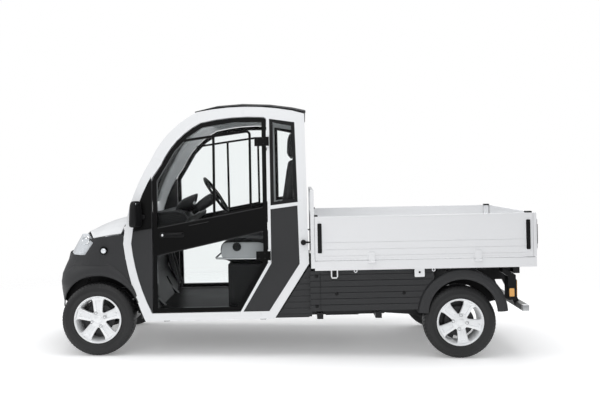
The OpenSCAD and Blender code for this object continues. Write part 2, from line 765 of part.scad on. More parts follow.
// Wheels, drawn with the outer face towards +Y at y = 0 and the axle on Y
wheel_inset = tyre_w / 2;
tyre_half = tyre_w / 2;
module tyre() {
    // Half section, [distance along the axle, radius]
    section = concat(
        [[-62, rim_r - 14], [-70, rim_r - 6]],
        arc3([-72, rim_r + 2], [-tyre_half, rim_r + 40], [-70, tyre_r - 12], 5),
        arc3([-62, tyre_r - 4], [0, tyre_r], [62, tyre_r - 4], 6),
        arc3([70, tyre_r - 12], [tyre_half, rim_r + 40], [72, rim_r + 2], 5),
        [[70, rim_r - 6], [62, rim_r - 14]]
    );
    color([0.09, 0.09, 0.09]) rotate([90, 0, 0]) difference() {
        rotate_extrude($fn = 96) polygon([for (p = section) [p[1], p[0]]]);
        for (a = [-38, -13, 13, 38])
            rotate_extrude($fn = 96) translate([tyre_r - 7, a - 3]) square([10, 6]);
    }
}
module rim() {
    rim_in = rim_r - 14.5;
    barrel_r = 168;
    color("silver") rotate([-90, 0, 0]) {
        rotate_extrude($fn = 96) polygon([
            [rim_r, 72], [rim_r, 77], [rim_r - 8, 79], [barrel_r + 2, 66], [barrel_r - 6, 20],
            [barrel_r - 10, -60], [rim_in - 6, -77], [rim_r, -77], [rim_r, -72],
            [rim_in - 1, -70], [rim_in - 1, -60], [barrel_r - 3, -54], [barrel_r, 20],
            [rim_in - 1, 60], [rim_in - 1, 70]
        ]);
        // Wide spokes with a sunk middle
        difference() {
            for (i = [0:spoke_count - 1]) rotate([0, 0, 90 + i * 360 / spoke_count])
                linear_extrude(height = 64) polygon([
                    [30, -26], [barrel_r - 2, -42], [barrel_r - 2, 42], [30, 26]
                ]);
            translate([0, 0, -1]) cylinder(h = 31, r = barrel_r + 10);
            for (i = [0:spoke_count - 1]) rotate([0, 0, 90 + i * 360 / spoke_count])
                translate([70, -11, 56]) cube([barrel_r - 84, 22, 20]);
            for (i = [0:3]) rotate([0, 0, 45 + i * 90])
                translate([bolt_circle_r, 0, 0]) cylinder(h = 90, r = 7);
        }
        difference() {
            translate([0, 0, 0]) cylinder(h = 62, r = 74);
            for (i = [0:3]) rotate([0, 0, 45 + i * 90])
                translate([bolt_circle_r, 0, 40]) cylinder(h = 90, r = 7);
            translate([0, 0, -1]) cylinder(h = 60, r = 15.05);
        }
        // Brake disc behind the spokes
        difference() {
            cylinder(h = 14, r = 112);
            translate([0, 0, -1]) cylinder(h = 30, r = 15.05);
        }
    }
}
module at_wheel(front, side) {
    translate([front ? 0 : rear_axle_x, side * track / 2, front ? axle_z : rear_axle_z])
        mirror([0, side < 0 ? 1 : 0, 0])
            children();
}

// Skirts and rear fenders
skirt_z0 = 320;
skirt_z1 = 640;
skirt_end = flare_x - 228;
plank = 48;
module side_skirts() {
    color("dimgray") both_sides() {
        difference() {
            translate([0, skirt_y, 0]) plate(30) difference() {
                polygon([
                    [1710, skirt_z0], [skirt_end, skirt_z0], [skirt_end, skirt_z1], [1710, skirt_z1]
                ]);
                translate([flare_x, flare_z]) circle(r = flare_out + 2, $fn = 96);
            }
            for (i = [1:6])
                translate([1700, side_y - 12, skirt_z0 + i * plank]) cube([skirt_end - 1700, 10, 6]);
            translate([1788, side_y - 16, skirt_z0 - 1]) cube([6, 20, 400]);
        }
        // Wedge below the cab's kink
        difference() {
            translate([0, side_y - 30, 0]) plate(26) polygon([
                [1436, 276], [1720, 276], [1720, 672], [1700, 672], [1440, 282]
            ]);
            for (i = [0:6])
                translate([1430, side_y - 34, 296 + i * plank]) cube([280, 10, 6]);
        }
    }
}
module rear_fenders() {
    color("dimgray") both_sides() {
        // A rounded band outside the wheel and a liner running in from its crown
        translate([flare_x, 0, flare_z])
            rotate([-90, 0, 0]) rotate([0, 0, 180 + 3]) rotate_extrude(angle = 174, $fn = 96)
                polygon([
                    [flare_in, flare_y], [flare_in + 4, flare_y + 14],
                    [flare_in + 22, flare_y + 22], [flare_in + 52, flare_y + 23],
                    [flare_out - 10, flare_y + 15], [flare_out, flare_y - 2],
                    [flare_out, flare_y - 220], [flare_out - 6, flare_y - 220],
                    [flare_out - 6, flare_y - 6], [flare_out - 14, flare_y + 8],
                    [flare_in + 50, flare_y + 16], [flare_in + 24, flare_y + 15],
                    [flare_in + 9, flare_y + 9], [flare_in + 6, flare_y]
                ]);
        // Stays up to the bed
        for (x = [flare_x - 120, flare_x + 80])
            translate([x, flare_y - 68, flare_z + flare_out - 40])
                cube([40, 40, deck_low - flare_z - flare_out + 40]);
    }
}

// Inner arches behind the front wheels
liner_r = 342;
module arch_liners() {
    color("black") both_sides() {
        translate([0, rail_y + rail_w / 2 + 1, axle_z]) rotate([-90, 0, 0]) rotate([0, 0, -110])
            rotate_extrude(angle = 112, $fn = 96)
                polygon([[liner_r, 0], [liner_r + 4, 0], [liner_r + 4, 272], [liner_r, 272]]);
        // Wall above the suspension
        translate([0, rail_y + 100, 0]) plate(4) intersection() {
            translate([0, axle_z]) circle(r = liner_r + 3, $fn = 96);
            translate([-118, 524]) square([400, 200]);
        }
        // Wall behind the wheel, against the rail
        translate([0, rail_y + rail_w / 2 + 5, 0]) plate(4) intersection() {
            translate([0, axle_z]) circle(r = liner_r + 3, $fn = 96);
            translate([258, 276]) square([100, 260]);
        }
    }
}

// A slanted bracket under the bed's rear corner with a wrap-round lamp
lamp_x = rail_rear_end - 47;
module tail_lamps() {
    color("black") both_sides() {
        translate([0, 684, 0]) plate(120) polygon([
            [lamp_x - 104, 640], [lamp_x, 580], [lamp_x, 380], [lamp_x - 61, 380],
            [lamp_x - 61, 566], [lamp_x - 104, 600]
        ]);
        translate([0, 690, 0]) plate(6) polygon([
            [lamp_x - 57, 404], [lamp_x - 57, 478], [lamp_x - 10, 478], [lamp_x - 10, 404]
        ]);
        translate([lamp_x, 576, 400]) cube([8, 100, 140]);
        translate([lamp_x - 100, 600, 600]) cube([60, 60, deck_low - 600]);
    }
}

// Bed
bed_pin_out = 12;
bed_pin_z = bed_z0 + bed_rail_h - 12;
side_hinge_xs = [bed_x0 + 451, bed_x1 - 467];
tail_hinge_ys = [-430, 430];
hinge_leaf = 70;
module bed_floor() {
    color("white") {
        difference() {
            block([bed_x0, -bed_y + 2, bed_z0], [bed_x1 - 2, bed_y - 2, bed_z0 + bed_rail_h]);
            block([bed_x0 + 40, -bed_y + 42, bed_z0 - 1], [bed_x1 - 42, bed_y - 42, deck_low]);
            difference() {
                block([bed_x0 + 40, -bed_y + 30, deck_low + 12],
                    [bed_x1 - 30, bed_y - 30, bed_z0 + bed_rail_h + 1]);
                both_sides() block([bed_x1 - board_t - 52, bed_y - board_t - 52, deck_low],
                    [bed_x1, bed_y, bed_z0 + bed_rail_h + 2]);
            }
        }
        both_sides() for (x = side_hinge_xs) translate([x, bed_y - 2, 0]) bed_ears();
        for (y = tail_hinge_ys) translate([bed_x1 - 2, y, 0]) rotate([0, 0, -90]) bed_ears();
    }
}
// Two ears and a pin along X, standing 2 mm off a face at y = 0
module bed_ears() {
    for (s = [-1, 1]) translate([s * (hinge_leaf / 2 - 4) - 4, -4, bed_pin_z - 10])
        cube([8, bed_pin_out + 11, 20]);
    translate([-hinge_leaf / 2, bed_pin_out + 2, bed_pin_z]) rotate([0, 90, 0])
        cylinder(h = hinge_leaf, r = 5);
}
module bed_posts() {
    deck = bed_z0 + bed_rail_h;
    color("white") both_sides() {
        block([bed_x0, bed_y - board_t - 44, deck], [bed_x0 + 26, bed_y - board_t - 4, board_z1]);
        block([bed_x1 - board_t - 46, bed_y - board_t - 46, deck],
            [bed_x1 - board_t - 6, bed_y - board_t - 6, board_z1]);
    }
}
headboard_z1 = 1292;
module headboard() {
    color("white") {
        both_sides() block([bed_x0 - 30, bed_y - 70, bed_z0 + 18],
            [bed_x0, bed_y - 8, headboard_z1]);
        block([bed_x0 - 27, -bed_y + 71, board_z0], [bed_x0 - 3, bed_y - 71, board_z1]);
        both_sides() block([bed_x0 - 27, bed_y - 72, board_z0], [bed_x0 - 3, bed_y - 69, board_z1]);
        block([bed_x0 - 27, -bed_y + 69, headboard_z1 - 40], [bed_x0 - 3, bed_y - 69, headboard_z1]);
    }
}
// One board with its outer face at y = 0 and its middle at x = 0, with ribs, latches and hinge eyes
module board(length, hinges) {
    color("white") difference() {
        block([-length / 2, -board_t, board_z0], [length / 2, 0, board_z1]);
        for (z = [763, 814, 870])
            translate([-length / 2 + 60, -3, z]) cube([length - 120, 4, 4]);
    }
    for (s = [-1, 1]) color("black")
        translate([s * (length / 2 - 38) - 19, -1, board_z0 + 54]) cube([38, 10, 246]);
    color("white") for (x = hinges) translate([x, 0, 0]) difference() {
        union() {
            translate([-25, bed_pin_out, bed_pin_z]) rotate([0, 90, 0]) cylinder(h = 50, r = 10);
            translate([-25, -1, board_z0 + 1]) cube([50, 11, 60]);
            translate([-25, bed_pin_out - 8, bed_pin_z]) cube([50, 6, board_z0 - bed_pin_z + 20]);
        }
        translate([-40, bed_pin_out, bed_pin_z]) rotate([0, 90, 0]) cylinder(h = 80, r = 5.05);
    }
}
board_gap = 3;
side_board_l = bed_l - board_t - 2 * board_gap;
module dropside() {
    middle = bed_x0 + board_gap + side_board_l / 2;
    translate([middle, bed_y, 0]) board(side_board_l, [for (x = side_hinge_xs) x - middle]);
}
module tailgate() {
    translate([bed_x1, 0, 0]) rotate([0, 0, -90])
        board(bed_w - 2 * board_gap, [for (y = tail_hinge_ys) y]);
}

// Doors, drawn on the right side
function inset_path(path, d) = [for (i = [0:len(path) - 1])
    let (
        a = path[(i + len(path) - 1) % len(path)],
        b = path[i],
        c = path[(i + 1) % len(path)],
        u = (b - a) / norm(b - a),
        v = (c - b) / norm(c - b),
        m = [u[1] + v[1], -u[0] - v[0]],
        k = m / norm(m),
        s = d / max(0.35, k * [v[1], -v[0]])
    ) b + k * s];
door_raw = concat(
    [[door_front_x - door_gap, open_sill_z], [door_front_x - door_gap, 1401]],
    [for (p = opening) if (p[1] > 1420 && p[0] > door_front_x) p],
    [slant_top, slant_foot]
);
door_outline = inset_path(door_raw, door_gap);
// The same path with a sharp rear top corner, and fewer points, for the windows
door_plain = concat(
    [[door_front_x - door_gap, open_sill_z], [door_front_x - door_gap, 1401]],
    arc3(opening_brow, [655, 1718], opening_top_front, 3),
    [opening_top_mid, [strip_x, 1893], slant_top, slant_foot]
);
// Height of the band's two edges at x, in the side's own plane
function belt_z(x) = belt_front[1]
    + (belt_rear[1] - belt_front[1]) * (x - belt_front[0]) / (belt_rear[0] - belt_front[0]);
function band_z(x) = band_lower_front[1] + (band_lower_rear[1] - band_lower_front[1])
    * (x - band_lower_front[0]) / (band_lower_rear[0] - band_lower_front[0]);
// Everything above the band's upper edge, or below its lower one, by a gap
module above_belt(gap) {
    polygon([[300, belt_z(300) + gap], [1500, belt_z(1500) + gap], [1500, 2100], [300, 2100]]);
}
module below_band(gap) {
    polygon([[300, band_z(300) - gap], [1500, band_z(1500) - gap], [1500, 100], [300, 100]]);
}
door_inner = inset_path(door_plain, door_gap + door_rail);
module door_frame() {
    color("black") {
        side_plane(3) plate(door_t) difference() {
            polygon(door_outline);
            intersection() {
                polygon(door_inner);
                above_belt(0);
            }
            intersection() {
                polygon(door_inner);
                below_band(0);
            }
        }
        for (z = hinge_zs) side_plane() difference() {
            union() {
                translate([hinge_x, hinge_out, z - hinge_h / 2 + 13])
                    cylinder(h = hinge_h - 26, r = 11);
                translate([hinge_x - 106, -6, z - hinge_h / 2 + 13])
                    cube([90, 18, hinge_h - 26]);
                translate([hinge_x - 100, 7, z - hinge_h / 2 + 13])
                    cube([98, 12, hinge_h - 26]);
            }
            translate([hinge_x, hinge_out, z - hinge_h / 2]) cylinder(h = hinge_h, r = pin_r + 0.05);
        }
    }
}
module door_glass() {
    color([0.6, 0.7, 0.72, 0.4]) side_plane(18) plate(glass_t) intersection() {
        polygon(inset_path(door_plain, door_gap + door_rail + 0.3));
        union() {
            above_belt(0.3);
            below_band(0.3);
        }
    }
}

// Turns the level body on to its wheels and sets the origin under the middle of the vehicle
module placed() {
    translate([-origin_x, 0, lift]) rotate([0, -rake, 0]) children();
}
module left() {
    mirror([0, 1, 0]) children();
}

placed() chassis_frame();
placed() floor_pan();
placed() cab_frame();
placed() roof_panel();
placed() rear_wall();
placed() cab_glass();
placed() side_panels();
placed() quarter_frames();
placed() front_fascia();
placed() front_lamps();
placed() mirrors();
placed() dashboard();
placed() driver_controls();
placed() seat_base();
placed() seats();
placed() drive_unit();
placed() battery_pack();
placed() side_skirts();
placed() rear_fenders();
placed() tail_lamps();
placed() bed_floor();
placed() headboard();
placed() bed_posts();
placed() front_suspension();
placed() rear_suspension();
placed() arch_liners();
placed() bonnet();
placed() left() door_frame();  // door_left
placed() left() door_glass();  // door_left_glass
placed() door_frame();  // door_right
placed() door_glass();  // door_right_glass
placed() left() dropside();  // dropside_left
placed() dropside();  // dropside_right
placed() tailgate();
placed() steering_wheel();
placed() steering_rack();
placed() left() knuckle();  // knuckle_left
placed() knuckle();  // knuckle_right
placed() at_wheel(true, -1) tyre();  // tyre_front_left
placed() at_wheel(true, 1) tyre();  // tyre_front_right
placed() at_wheel(false, -1) tyre();  // tyre_rear_left
placed() at_wheel(false, 1) tyre();  // tyre_rear_right
placed() at_wheel(true, -1) rim();  // rim_front_left
placed() at_wheel(true, 1) rim();  // rim_front_right
placed() at_wheel(false, -1) rim();  // rim_rear_left
placed() at_wheel(false, 1) rim();  // rim_rear_right
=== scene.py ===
"""Looks for the electric utility truck: materials, trim, wheels, seats and studio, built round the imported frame."""

import math
import random

import bmesh
import bpy
from mathutils import Matrix, Vector


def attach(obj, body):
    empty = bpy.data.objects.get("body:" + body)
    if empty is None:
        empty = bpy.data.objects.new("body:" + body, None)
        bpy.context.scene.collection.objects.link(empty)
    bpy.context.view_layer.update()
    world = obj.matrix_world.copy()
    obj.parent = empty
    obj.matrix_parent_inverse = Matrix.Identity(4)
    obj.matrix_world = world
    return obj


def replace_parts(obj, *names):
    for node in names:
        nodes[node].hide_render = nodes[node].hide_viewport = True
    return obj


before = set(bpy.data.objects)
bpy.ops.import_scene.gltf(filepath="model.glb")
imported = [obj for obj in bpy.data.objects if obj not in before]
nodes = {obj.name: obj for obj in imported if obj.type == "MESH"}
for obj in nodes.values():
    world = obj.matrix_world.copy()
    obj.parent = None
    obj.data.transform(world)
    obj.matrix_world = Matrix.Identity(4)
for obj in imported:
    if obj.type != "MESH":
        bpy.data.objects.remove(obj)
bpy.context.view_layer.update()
random.seed(7)

# Places from the part's own source, in metres. Body coordinates run from the front axle, before the rake.
RAKE = math.radians(1.55)
LIFT = 0.006
LEAN = math.radians(3.5)
TYRE_R = 0.291
RIM_R = 0.190
WHEELBASE = 2.908
TRACK = 1.206
SIDE_Y = 0.700
SILL_Z = 0.270
BED_X0 = 1.750
BED_X1 = BED_X0 + 1.764
BED_Z0 = 0.650
BED_Y = 0.740
BOARD_Z0 = BED_Z0 + 0.080
BOARD_Z1 = BOARD_Z0 + 0.348
BOARD_T = 0.026
AXLE_Z = (TYRE_R - LIFT) / math.cos(RAKE)
REAR_AXLE_Z = (TYRE_R - LIFT - WHEELBASE * math.sin(RAKE)) / math.cos(RAKE)
NOSE_END = -0.415 * math.cos(RAKE) - 0.560 * math.sin(RAKE)
TAIL_END = (BED_X1 + 0.022) * math.cos(RAKE) - (BED_Z0 + 0.053) * math.sin(RAKE)
ORIGIN_X = (NOSE_END + TAIL_END) / 2
BODY = Matrix.Translation((-ORIGIN_X, 0, LIFT)) @ Matrix.Rotation(-RAKE, 4, "Y")
SIDE = (
    Matrix.Translation((0, SIDE_Y, SILL_Z))
    @ Matrix.Rotation(LEAN, 4, "X")
    @ Matrix.Translation((0, 0, -SILL_Z))
)
FLIP = Matrix.Scale(-1, 4, (0, 1, 0))


# Materials
def node_material(name, base, roughness, metallic=0.0, coat=0.0, specular=0.5, sheen=0.0):
    """A principled material with its node tree and shader."""
    material = bpy.data.materials.new(name)
    material.use_nodes = True
    shader = material.node_tree.nodes["Principled BSDF"]
    shader.inputs["Base Color"].default_value = (*base, 1)
    shader.inputs["Roughness"].default_value = roughness
    shader.inputs["Metallic"].default_value = metallic
    shader.inputs["Coat Weight"].default_value = coat
    shader.inputs["Coat Roughness"].default_value = 0.06
    shader.inputs["Specular IOR Level"].default_value = specular
    shader.inputs["Sheen Weight"].default_value = sheen
    return material, material.node_tree, shader


def add_noise(tree, scale, detail=4.0, stretch=(1, 1, 1), kind="ShaderNodeTexNoise"):
    """A noise texture in object space, stretched along the axes."""
    coords = tree.nodes.new("ShaderNodeTexCoord")
    mapping = tree.nodes.new("ShaderNodeMapping")
    mapping.inputs["Scale"].default_value = stretch
    texture = tree.nodes.new(kind)
    texture.inputs["Scale"].default_value = scale
    if "Detail" in texture.inputs:
        texture.inputs["Detail"].default_value = detail
    tree.links.new(coords.outputs["Object"], mapping.inputs["Vector"])
    tree.links.new(mapping.outputs["Vector"], texture.inputs["Vector"])
    return texture.outputs["Distance" if kind == "ShaderNodeTexVoronoi" else "Fac"]


def vary(tree, shader, source, base, spread, roughness, rough_spread):
    """Lets a texture move the colour and roughness a little."""
    ramp = tree.nodes.new("ShaderNodeMix")
    ramp.data_type = "RGBA"
    ramp.inputs["A"].default_value = (*[c * (1 - spread) for c in base], 1)
    ramp.inputs["B"].default_value = (*[min(1, c * (1 + spread)) for c in base], 1)
    tree.links.new(source, ramp.inputs["Factor"])
    tree.links.new(ramp.outputs["Result"], shader.inputs["Base Color"])
    spread_node = tree.nodes.new("ShaderNodeMapRange")
    spread_node.inputs["To Min"].default_value = max(0.02, roughness - rough_spread)
    spread_node.inputs["To Max"].default_value = roughness + rough_spread
    tree.links.new(source, spread_node.inputs["Value"])
    tree.links.new(spread_node.outputs["Result"], shader.inputs["Roughness"])


def add_bump(tree, shader, source, strength, distance):
    bump = tree.nodes.new("ShaderNodeBump")
    bump.inputs["Strength"].default_value = strength
    bump.inputs["Distance"].default_value = distance
    tree.links.new(source, bump.inputs["Height"])
    tree.links.new(bump.outputs["Normal"], shader.inputs["Normal"])


def surface(name, base, roughness, spread=0.06, rough_spread=0.06, grain=None, cloud=3.0, stretch=(1, 1, 1), **keys):
    """A finish with slow colour variation, and a fine bump where grain is (scale, strength, distance, kind)."""
    material, tree, shader = node_material(name, base, roughness, **keys)
    vary(tree, shader, add_noise(tree, cloud, 5, stretch), base, spread, roughness, rough_spread)
    if grain:
        scale, strength, distance, kind = grain
        fine = add_noise(tree, scale, 3, stretch, kind)
        add_bump(tree, shader, fine, strength, distance)
    return material


NOISE = "ShaderNodeTexNoise"
CELLS = "ShaderNodeTexVoronoi"
WHITE = surface("white_paint", (0.80, 0.81, 0.82), 0.28, 0.015, 0.04, (900, 0.05, 0.0002, NOISE), coat=0.3)
BOARD = surface("board_coating", (0.80, 0.805, 0.815), 0.42, 0.02, 0.07, (260, 0.12, 0.0003, NOISE), stretch=(0.08, 1, 1))
CHARCOAL = surface("charcoal_moulding", (0.026, 0.0265, 0.028), 0.50, 0.12, 0.08, (700, 0.35, 0.0006, CELLS), specular=0.35)
BLACK = surface("black_moulding", (0.005, 0.005, 0.0055), 0.45, 0.15, 0.08, (520, 0.25, 0.0005, NOISE), specular=0.22)
DOORBLACK = surface("door_paint", (0.0015, 0.0015, 0.0016), 0.38, 0.1, 0.06, (420, 0.08, 0.0003, NOISE), specular=0.12)
STEEL = surface("frame_paint", (0.010, 0.010, 0.011), 0.40, 0.15, 0.1, (300, 0.15, 0.0004, NOISE), specular=0.3)
RUBBER = surface("tyre_rubber", (0.009, 0.009, 0.0095), 0.44, 0.2, 0.08, (380, 0.3, 0.0006, NOISE), specular=0.45)
ALLOY = surface("alloy", (0.86, 0.87, 0.88), 0.30, 0.04, 0.05, (800, 0.06, 0.0002, NOISE), metallic=0.35)
# Dark iron for the brake discs and dust shields; the same colour is also painted shade in the nut wells.
DARK_IRON_AND_PAINTED_SHADE = surface("brake_iron_and_painted_shade", (0.035, 0.035, 0.037), 0.45, 0.2, 0.1, (200, 0.3, 0.0005, NOISE), metallic=0.6)
METAL = surface("bare_steel", (0.48, 0.49, 0.50), 0.32, 0.08, 0.08, (300, 0.1, 0.0003, NOISE), metallic=0.9)
VINYL = surface("seat_vinyl", (0.012, 0.012, 0.013), 0.50, 0.15, 0.08, (260, 0.45, 0.0012, CELLS), specular=0.35, sheen=0.05)
GREY = surface("grey_moulding", (0.42, 0.43, 0.44), 0.5, 0.05, 0.06, (500, 0.2, 0.0004, NOISE))
LINER = surface("cab_lining", (0.55, 0.56, 0.57), 0.7, 0.05, 0.06, (240, 0.4, 0.0008, NOISE))
CAST = surface("cast_housing", (0.16, 0.165, 0.17), 0.55, 0.15, 0.1, (160, 0.4, 0.001, NOISE), metallic=0.5)
CHROME = surface("chrome", (0.78, 0.79, 0.80), 0.10, 0.02, 0.03, metallic=1.0)
AMBER = surface("amber_lens", (0.80, 0.42, 0.12), 0.25, 0.08, 0.03, (160, 0.5, 0.001, CELLS), coat=0.4)
RED = surface("red_lens", (0.55, 0.02, 0.015), 0.2, 0.08, 0.03, (160, 0.5, 0.001, CELLS), coat=0.5)
LENS = surface("lamp_lens", (0.80, 0.83, 0.86), 0.12, 0.05, 0.03, (120, 0.4, 0.001, CELLS), coat=0.8, metallic=0.3)


def glass(name, tint, gloss=0.9):
    """Thin clear glass: see-through with a fresnel sheen."""
    material = bpy.data.materials.new(name)
    material.use_nodes = True
    tree = material.node_tree
    tree.nodes.clear()
    out = tree.nodes.new("ShaderNodeOutputMaterial")
    clear = tree.nodes.new("ShaderNodeBsdfTransparent")
    shine = tree.nodes.new("ShaderNodeBsdfGlossy")
    mix = tree.nodes.new("ShaderNodeMixShader")
    fresnel = tree.nodes.new("ShaderNodeFresnel")
    smear = add_noise(tree, 6, 4)
    spread = tree.nodes.new("ShaderNodeMapRange")
    spread.inputs["To Min"].default_value = 0.02
    spread.inputs["To Max"].default_value = 0.05
    clear.inputs["Color"].default_value = (*tint, 1)
    shine.inputs["Color"].default_value = (gloss, gloss, gloss, 1)
    fresnel.inputs["IOR"].default_value = 1.14
    tree.links.new(smear, spread.inputs["Value"])
    tree.links.new(spread.outputs["Result"], shine.inputs["Roughness"])
    tree.links.new(fresnel.outputs["Fac"], mix.inputs["Fac"])
    tree.links.new(clear.outputs["BSDF"], mix.inputs[1])
    tree.links.new(shine.outputs["BSDF"], mix.inputs[2])
    tree.links.new(mix.outputs["Shader"], out.inputs["Surface"])
    return material


GLASS = glass("clear_glass", (0.965, 0.975, 0.975))
REFLECTOR = surface("mirror_glass", (0.80, 0.82, 0.83), 0.05, 0.01, 0.02, metallic=1.0)

finish_of = {
    "chassis_frame": STEEL, "floor_pan": BLACK, "cab_frame": WHITE, "roof_panel": BLACK,
    "rear_wall": CHARCOAL, "cab_glass": GLASS, "side_panels": CHARCOAL, "quarter_frames": BLACK,
    "front_fascia": CHARCOAL, "front_lamps": LENS, "arch_liners": BLACK, "mirrors": BLACK, "dashboard": BLACK,
    "driver_controls": BLACK, "seat_base": BLACK, "seats": VINYL, "drive_unit": CAST,
    "battery_pack": BLACK, "side_skirts": CHARCOAL, "rear_fenders": CHARCOAL, "tail_lamps": BLACK,
    "bed_floor": BOARD, "headboard": WHITE, "bed_posts": WHITE, "front_suspension": STEEL,
    "rear_suspension": STEEL, "bonnet": WHITE, "door_left": DOORBLACK, "door_left_glass": GLASS,
    "door_right": DOORBLACK, "door_right_glass": GLASS, "dropside_left": BOARD,
    "dropside_right": BOARD, "tailgate": BOARD, "steering_wheel": BLACK, "steering_rack": METAL,
    "knuckle_left": CAST, "knuckle_right": CAST,
}
for name, node in nodes.items():
    finish = finish_of.get(name)
    if finish is None:
        finish = RUBBER if name.startswith("tyre") else ALLOY
    node.data.materials.clear()
    node.data.materials.append(finish)

# Mesh makers. Each shape gathers its parts in body coordinates and becomes one piece.
LEFT = BODY @ FLIP
HANDS = {"left": LEFT, "right": BODY}
SIDES = {"left": BODY @ FLIP @ SIDE, "right": BODY @ SIDE}


class Shape:
    def __init__(self):
        self.verts = []
        self.faces = []

    def add(self, verts, faces):
        base = len(self.verts)
        self.verts += [tuple(v) for v in verts]
        self.faces += [tuple(base + i for i in face) for face in faces]
        return self

    def loft(self, rings, closed=True, caps=True):
        """A skin through rings of points, closed round each ring, with its ends capped."""
        count = len(rings[0])
        faces = []
        for r in range(len(rings) - 1):
            for i in range(count if closed else count - 1):
                j = (i + 1) % count
                faces.append((r * count + i, r * count + j, (r + 1) * count + j, (r + 1) * count + i))
        if caps:
            faces.append(tuple(range(count))[::-1])
            faces.append(tuple((len(rings) - 1) * count + i for i in range(count)))
        return self.add([p for ring in rings for p in ring], faces)

    def prism(self, outline, low, high, plane="xz"):
        """An outline drawn in x-z (or x-y, y-z), thickened along the third axis."""
        place = {
            "xz": lambda p, t: (p[0], t, p[1]),
            "xy": lambda p, t: (p[0], p[1], t),
            "yz": lambda p, t: (t, p[0], p[1]),
        }[plane]
        return self.loft([[place(p, low) for p in outline], [place(p, high) for p in outline]])

    def block(self, low, high):
        return self.prism([(low[0], low[2]), (high[0], low[2]), (high[0], high[2]), (low[0], high[2])], low[1], high[1])

    def tube(self, points, radius, sides=12, caps=True, closed=False):
        """A round bar along points; radius is one number or one for each point."""
        points = [Vector(p) for p in points]
        radii = radius if isinstance(radius, (list, tuple)) else [radius] * len(points)
        last = len(points) - 1
        across = None
        rings = []
        for i, point in enumerate(points):
            if closed:
                along = points[(i + 1) % len(points)] - points[i - 1]
            else:
                along = points[min(i + 1, last)] - points[max(i - 1, 0)]
            along.normalize()
            if across is None:
                across = along.orthogonal().normalized()
            across = (across - along * across.dot(along)).normalized()
            side = along.cross(across)
            rings.append([
                point + radii[i] * (math.cos(t) * across + math.sin(t) * side)
                for t in (2 * math.pi * k / sides for k in range(sides))
            ])
        if closed:
            rings.append(rings[0])
            caps = False
        return self.loft(rings, True, caps)

    def lathe(self, profile, centre, axis, steps=48):
        """A profile of (along the axis, radius) turned about the axis through centre."""
        axis = Vector(axis).normalized()
        across = axis.orthogonal().normalized()
        side = axis.cross(across)
        centre = Vector(centre)
        rings = [
            [
                centre + axis * a + r * (math.cos(t) * across + math.sin(t) * side)
                for t in (2 * math.pi * k / steps for k in range(steps))
            ]
            for a, r in profile
        ]
        return self.loft(rings)

    def bar(self, points, half, low, high):
        """A flat bar of half width along an x-z path, from low to high in y."""
        points = [Vector(p) for p in points]
        left, right = [], []
        for i, point in enumerate(points):
            u = (point - points[i - 1]).normalized() if i else (points[1] - point).normalized()
            v = (points[i + 1] - point).normalized() if i < len(points) - 1 else u
            normal = Vector((-(u.y + v.y), u.x + v.x)).normalized()
            reach = half / max(0.4, normal.dot(Vector((-v.y, v.x))))
            left.append(point + normal * reach)
            right.append(point - normal * reach)
        rings = [
            [(a.x, low, a.y), (b.x, low, b.y), (b.x, high, b.y), (a.x, high, a.y)]
            for a, b in zip(left, right)
        ]
        return self.loft(rings)

    def piece(self, name, material, slot, body="vehicle", space=BODY, bevel=0.0, segments=2, smooth=35, divide=0):
        mesh = bpy.data.meshes.new(name)
        mesh.from_pydata(self.verts, [], self.faces)
        mesh.transform(space)
        work = bmesh.new()
        work.from_mesh(mesh)
        bmesh.ops.remove_doubles(work, verts=work.verts, dist=1e-6)
        bmesh.ops.recalc_face_normals(work, faces=work.faces)
        work.to_mesh(mesh)
        work.free()
        mesh.materials.append(material)
        mesh.shade_smooth()
        mesh.set_sharp_from_angle(angle=math.radians(smooth))
        obj = bpy.data.objects.new(name, mesh)
        bpy.context.scene.collection.objects.link(obj)
        if bevel:
            round_edges(obj, bevel, segments)
        if divide:
            obj.modifiers.new("divide", "SUBSURF").render_levels = divide
            obj.modifiers["divide"].levels = divide
        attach(obj, body)
        return obj


def round_edges(obj, width, segments=2, angle=32):
    bevel = obj.modifiers.new("round_edges", "BEVEL")
    bevel.width = width
    bevel.segments = segments
    bevel.limit_method = "ANGLE"
    bevel.angle_limit = math.radians(angle)
    bevel.harden_normals = True
    bevel.use_clamp_overlap = True


def arc(centre, radius, start, end, steps=6):
    return [
        (centre[0] + radius * math.cos(math.radians(start + (end - start) * i / steps)),
         centre[1] + radius * math.sin(math.radians(start + (end - start) * i / steps)))
        for i in range(steps + 1)
    ]


def rounded(x0, x1, z0, z1, r, steps=4):
    """A rounded rectangle's outline."""
    return (
        arc((x1 - r, z0 + r), r, -90, 0, steps) + arc((x1 - r, z1 - r), r, 0, 90, steps)
        + arc((x0 + r, z1 - r), r, 90, 180, steps) + arc((x0 + r, z0 + r), r, 180, 270, steps)
    )


def table_at(rows, q):
    if q <= rows[0][0]:
        return rows[0][1]
    for (a, b), (c, d) in zip(rows, rows[1:]):
        if q <= c:
            return b + (d - b) * (q - a) / (c - a)
    return rows[-1][1]


# Softened edges on the carried-over parts
for name, width in {
    "cab_frame": 0.007, "door_left": 0.003, "door_right": 0.003, "dropside_left": 0.003,
    "dropside_right": 0.003, "tailgate": 0.003, "bed_floor": 0.004, "headboard": 0.004,
    "bed_posts": 0.004, "side_panels": 0.003, "side_skirts": 0.002, "chassis_frame": 0.004,
    "mirrors": 0.010, "dashboard": 0.014, "seat_base": 0.012, "drive_unit": 0.008,
    "battery_pack": 0.006, "tail_lamps": 0.003, "quarter_frames": 0.005, "front_suspension": 0.002,
    "rear_suspension": 0.003, "driver_controls": 0.003, "rear_wall": 0.004, "knuckle_left": 0.002,
    "knuckle_right": 0.002,
}.items():
    round_edges(nodes[name], width, 3 if width > 0.005 else 2)
for node in nodes.values():
    node.data.shade_smooth()
    node.data.set_sharp_from_angle(angle=math.radians(30))


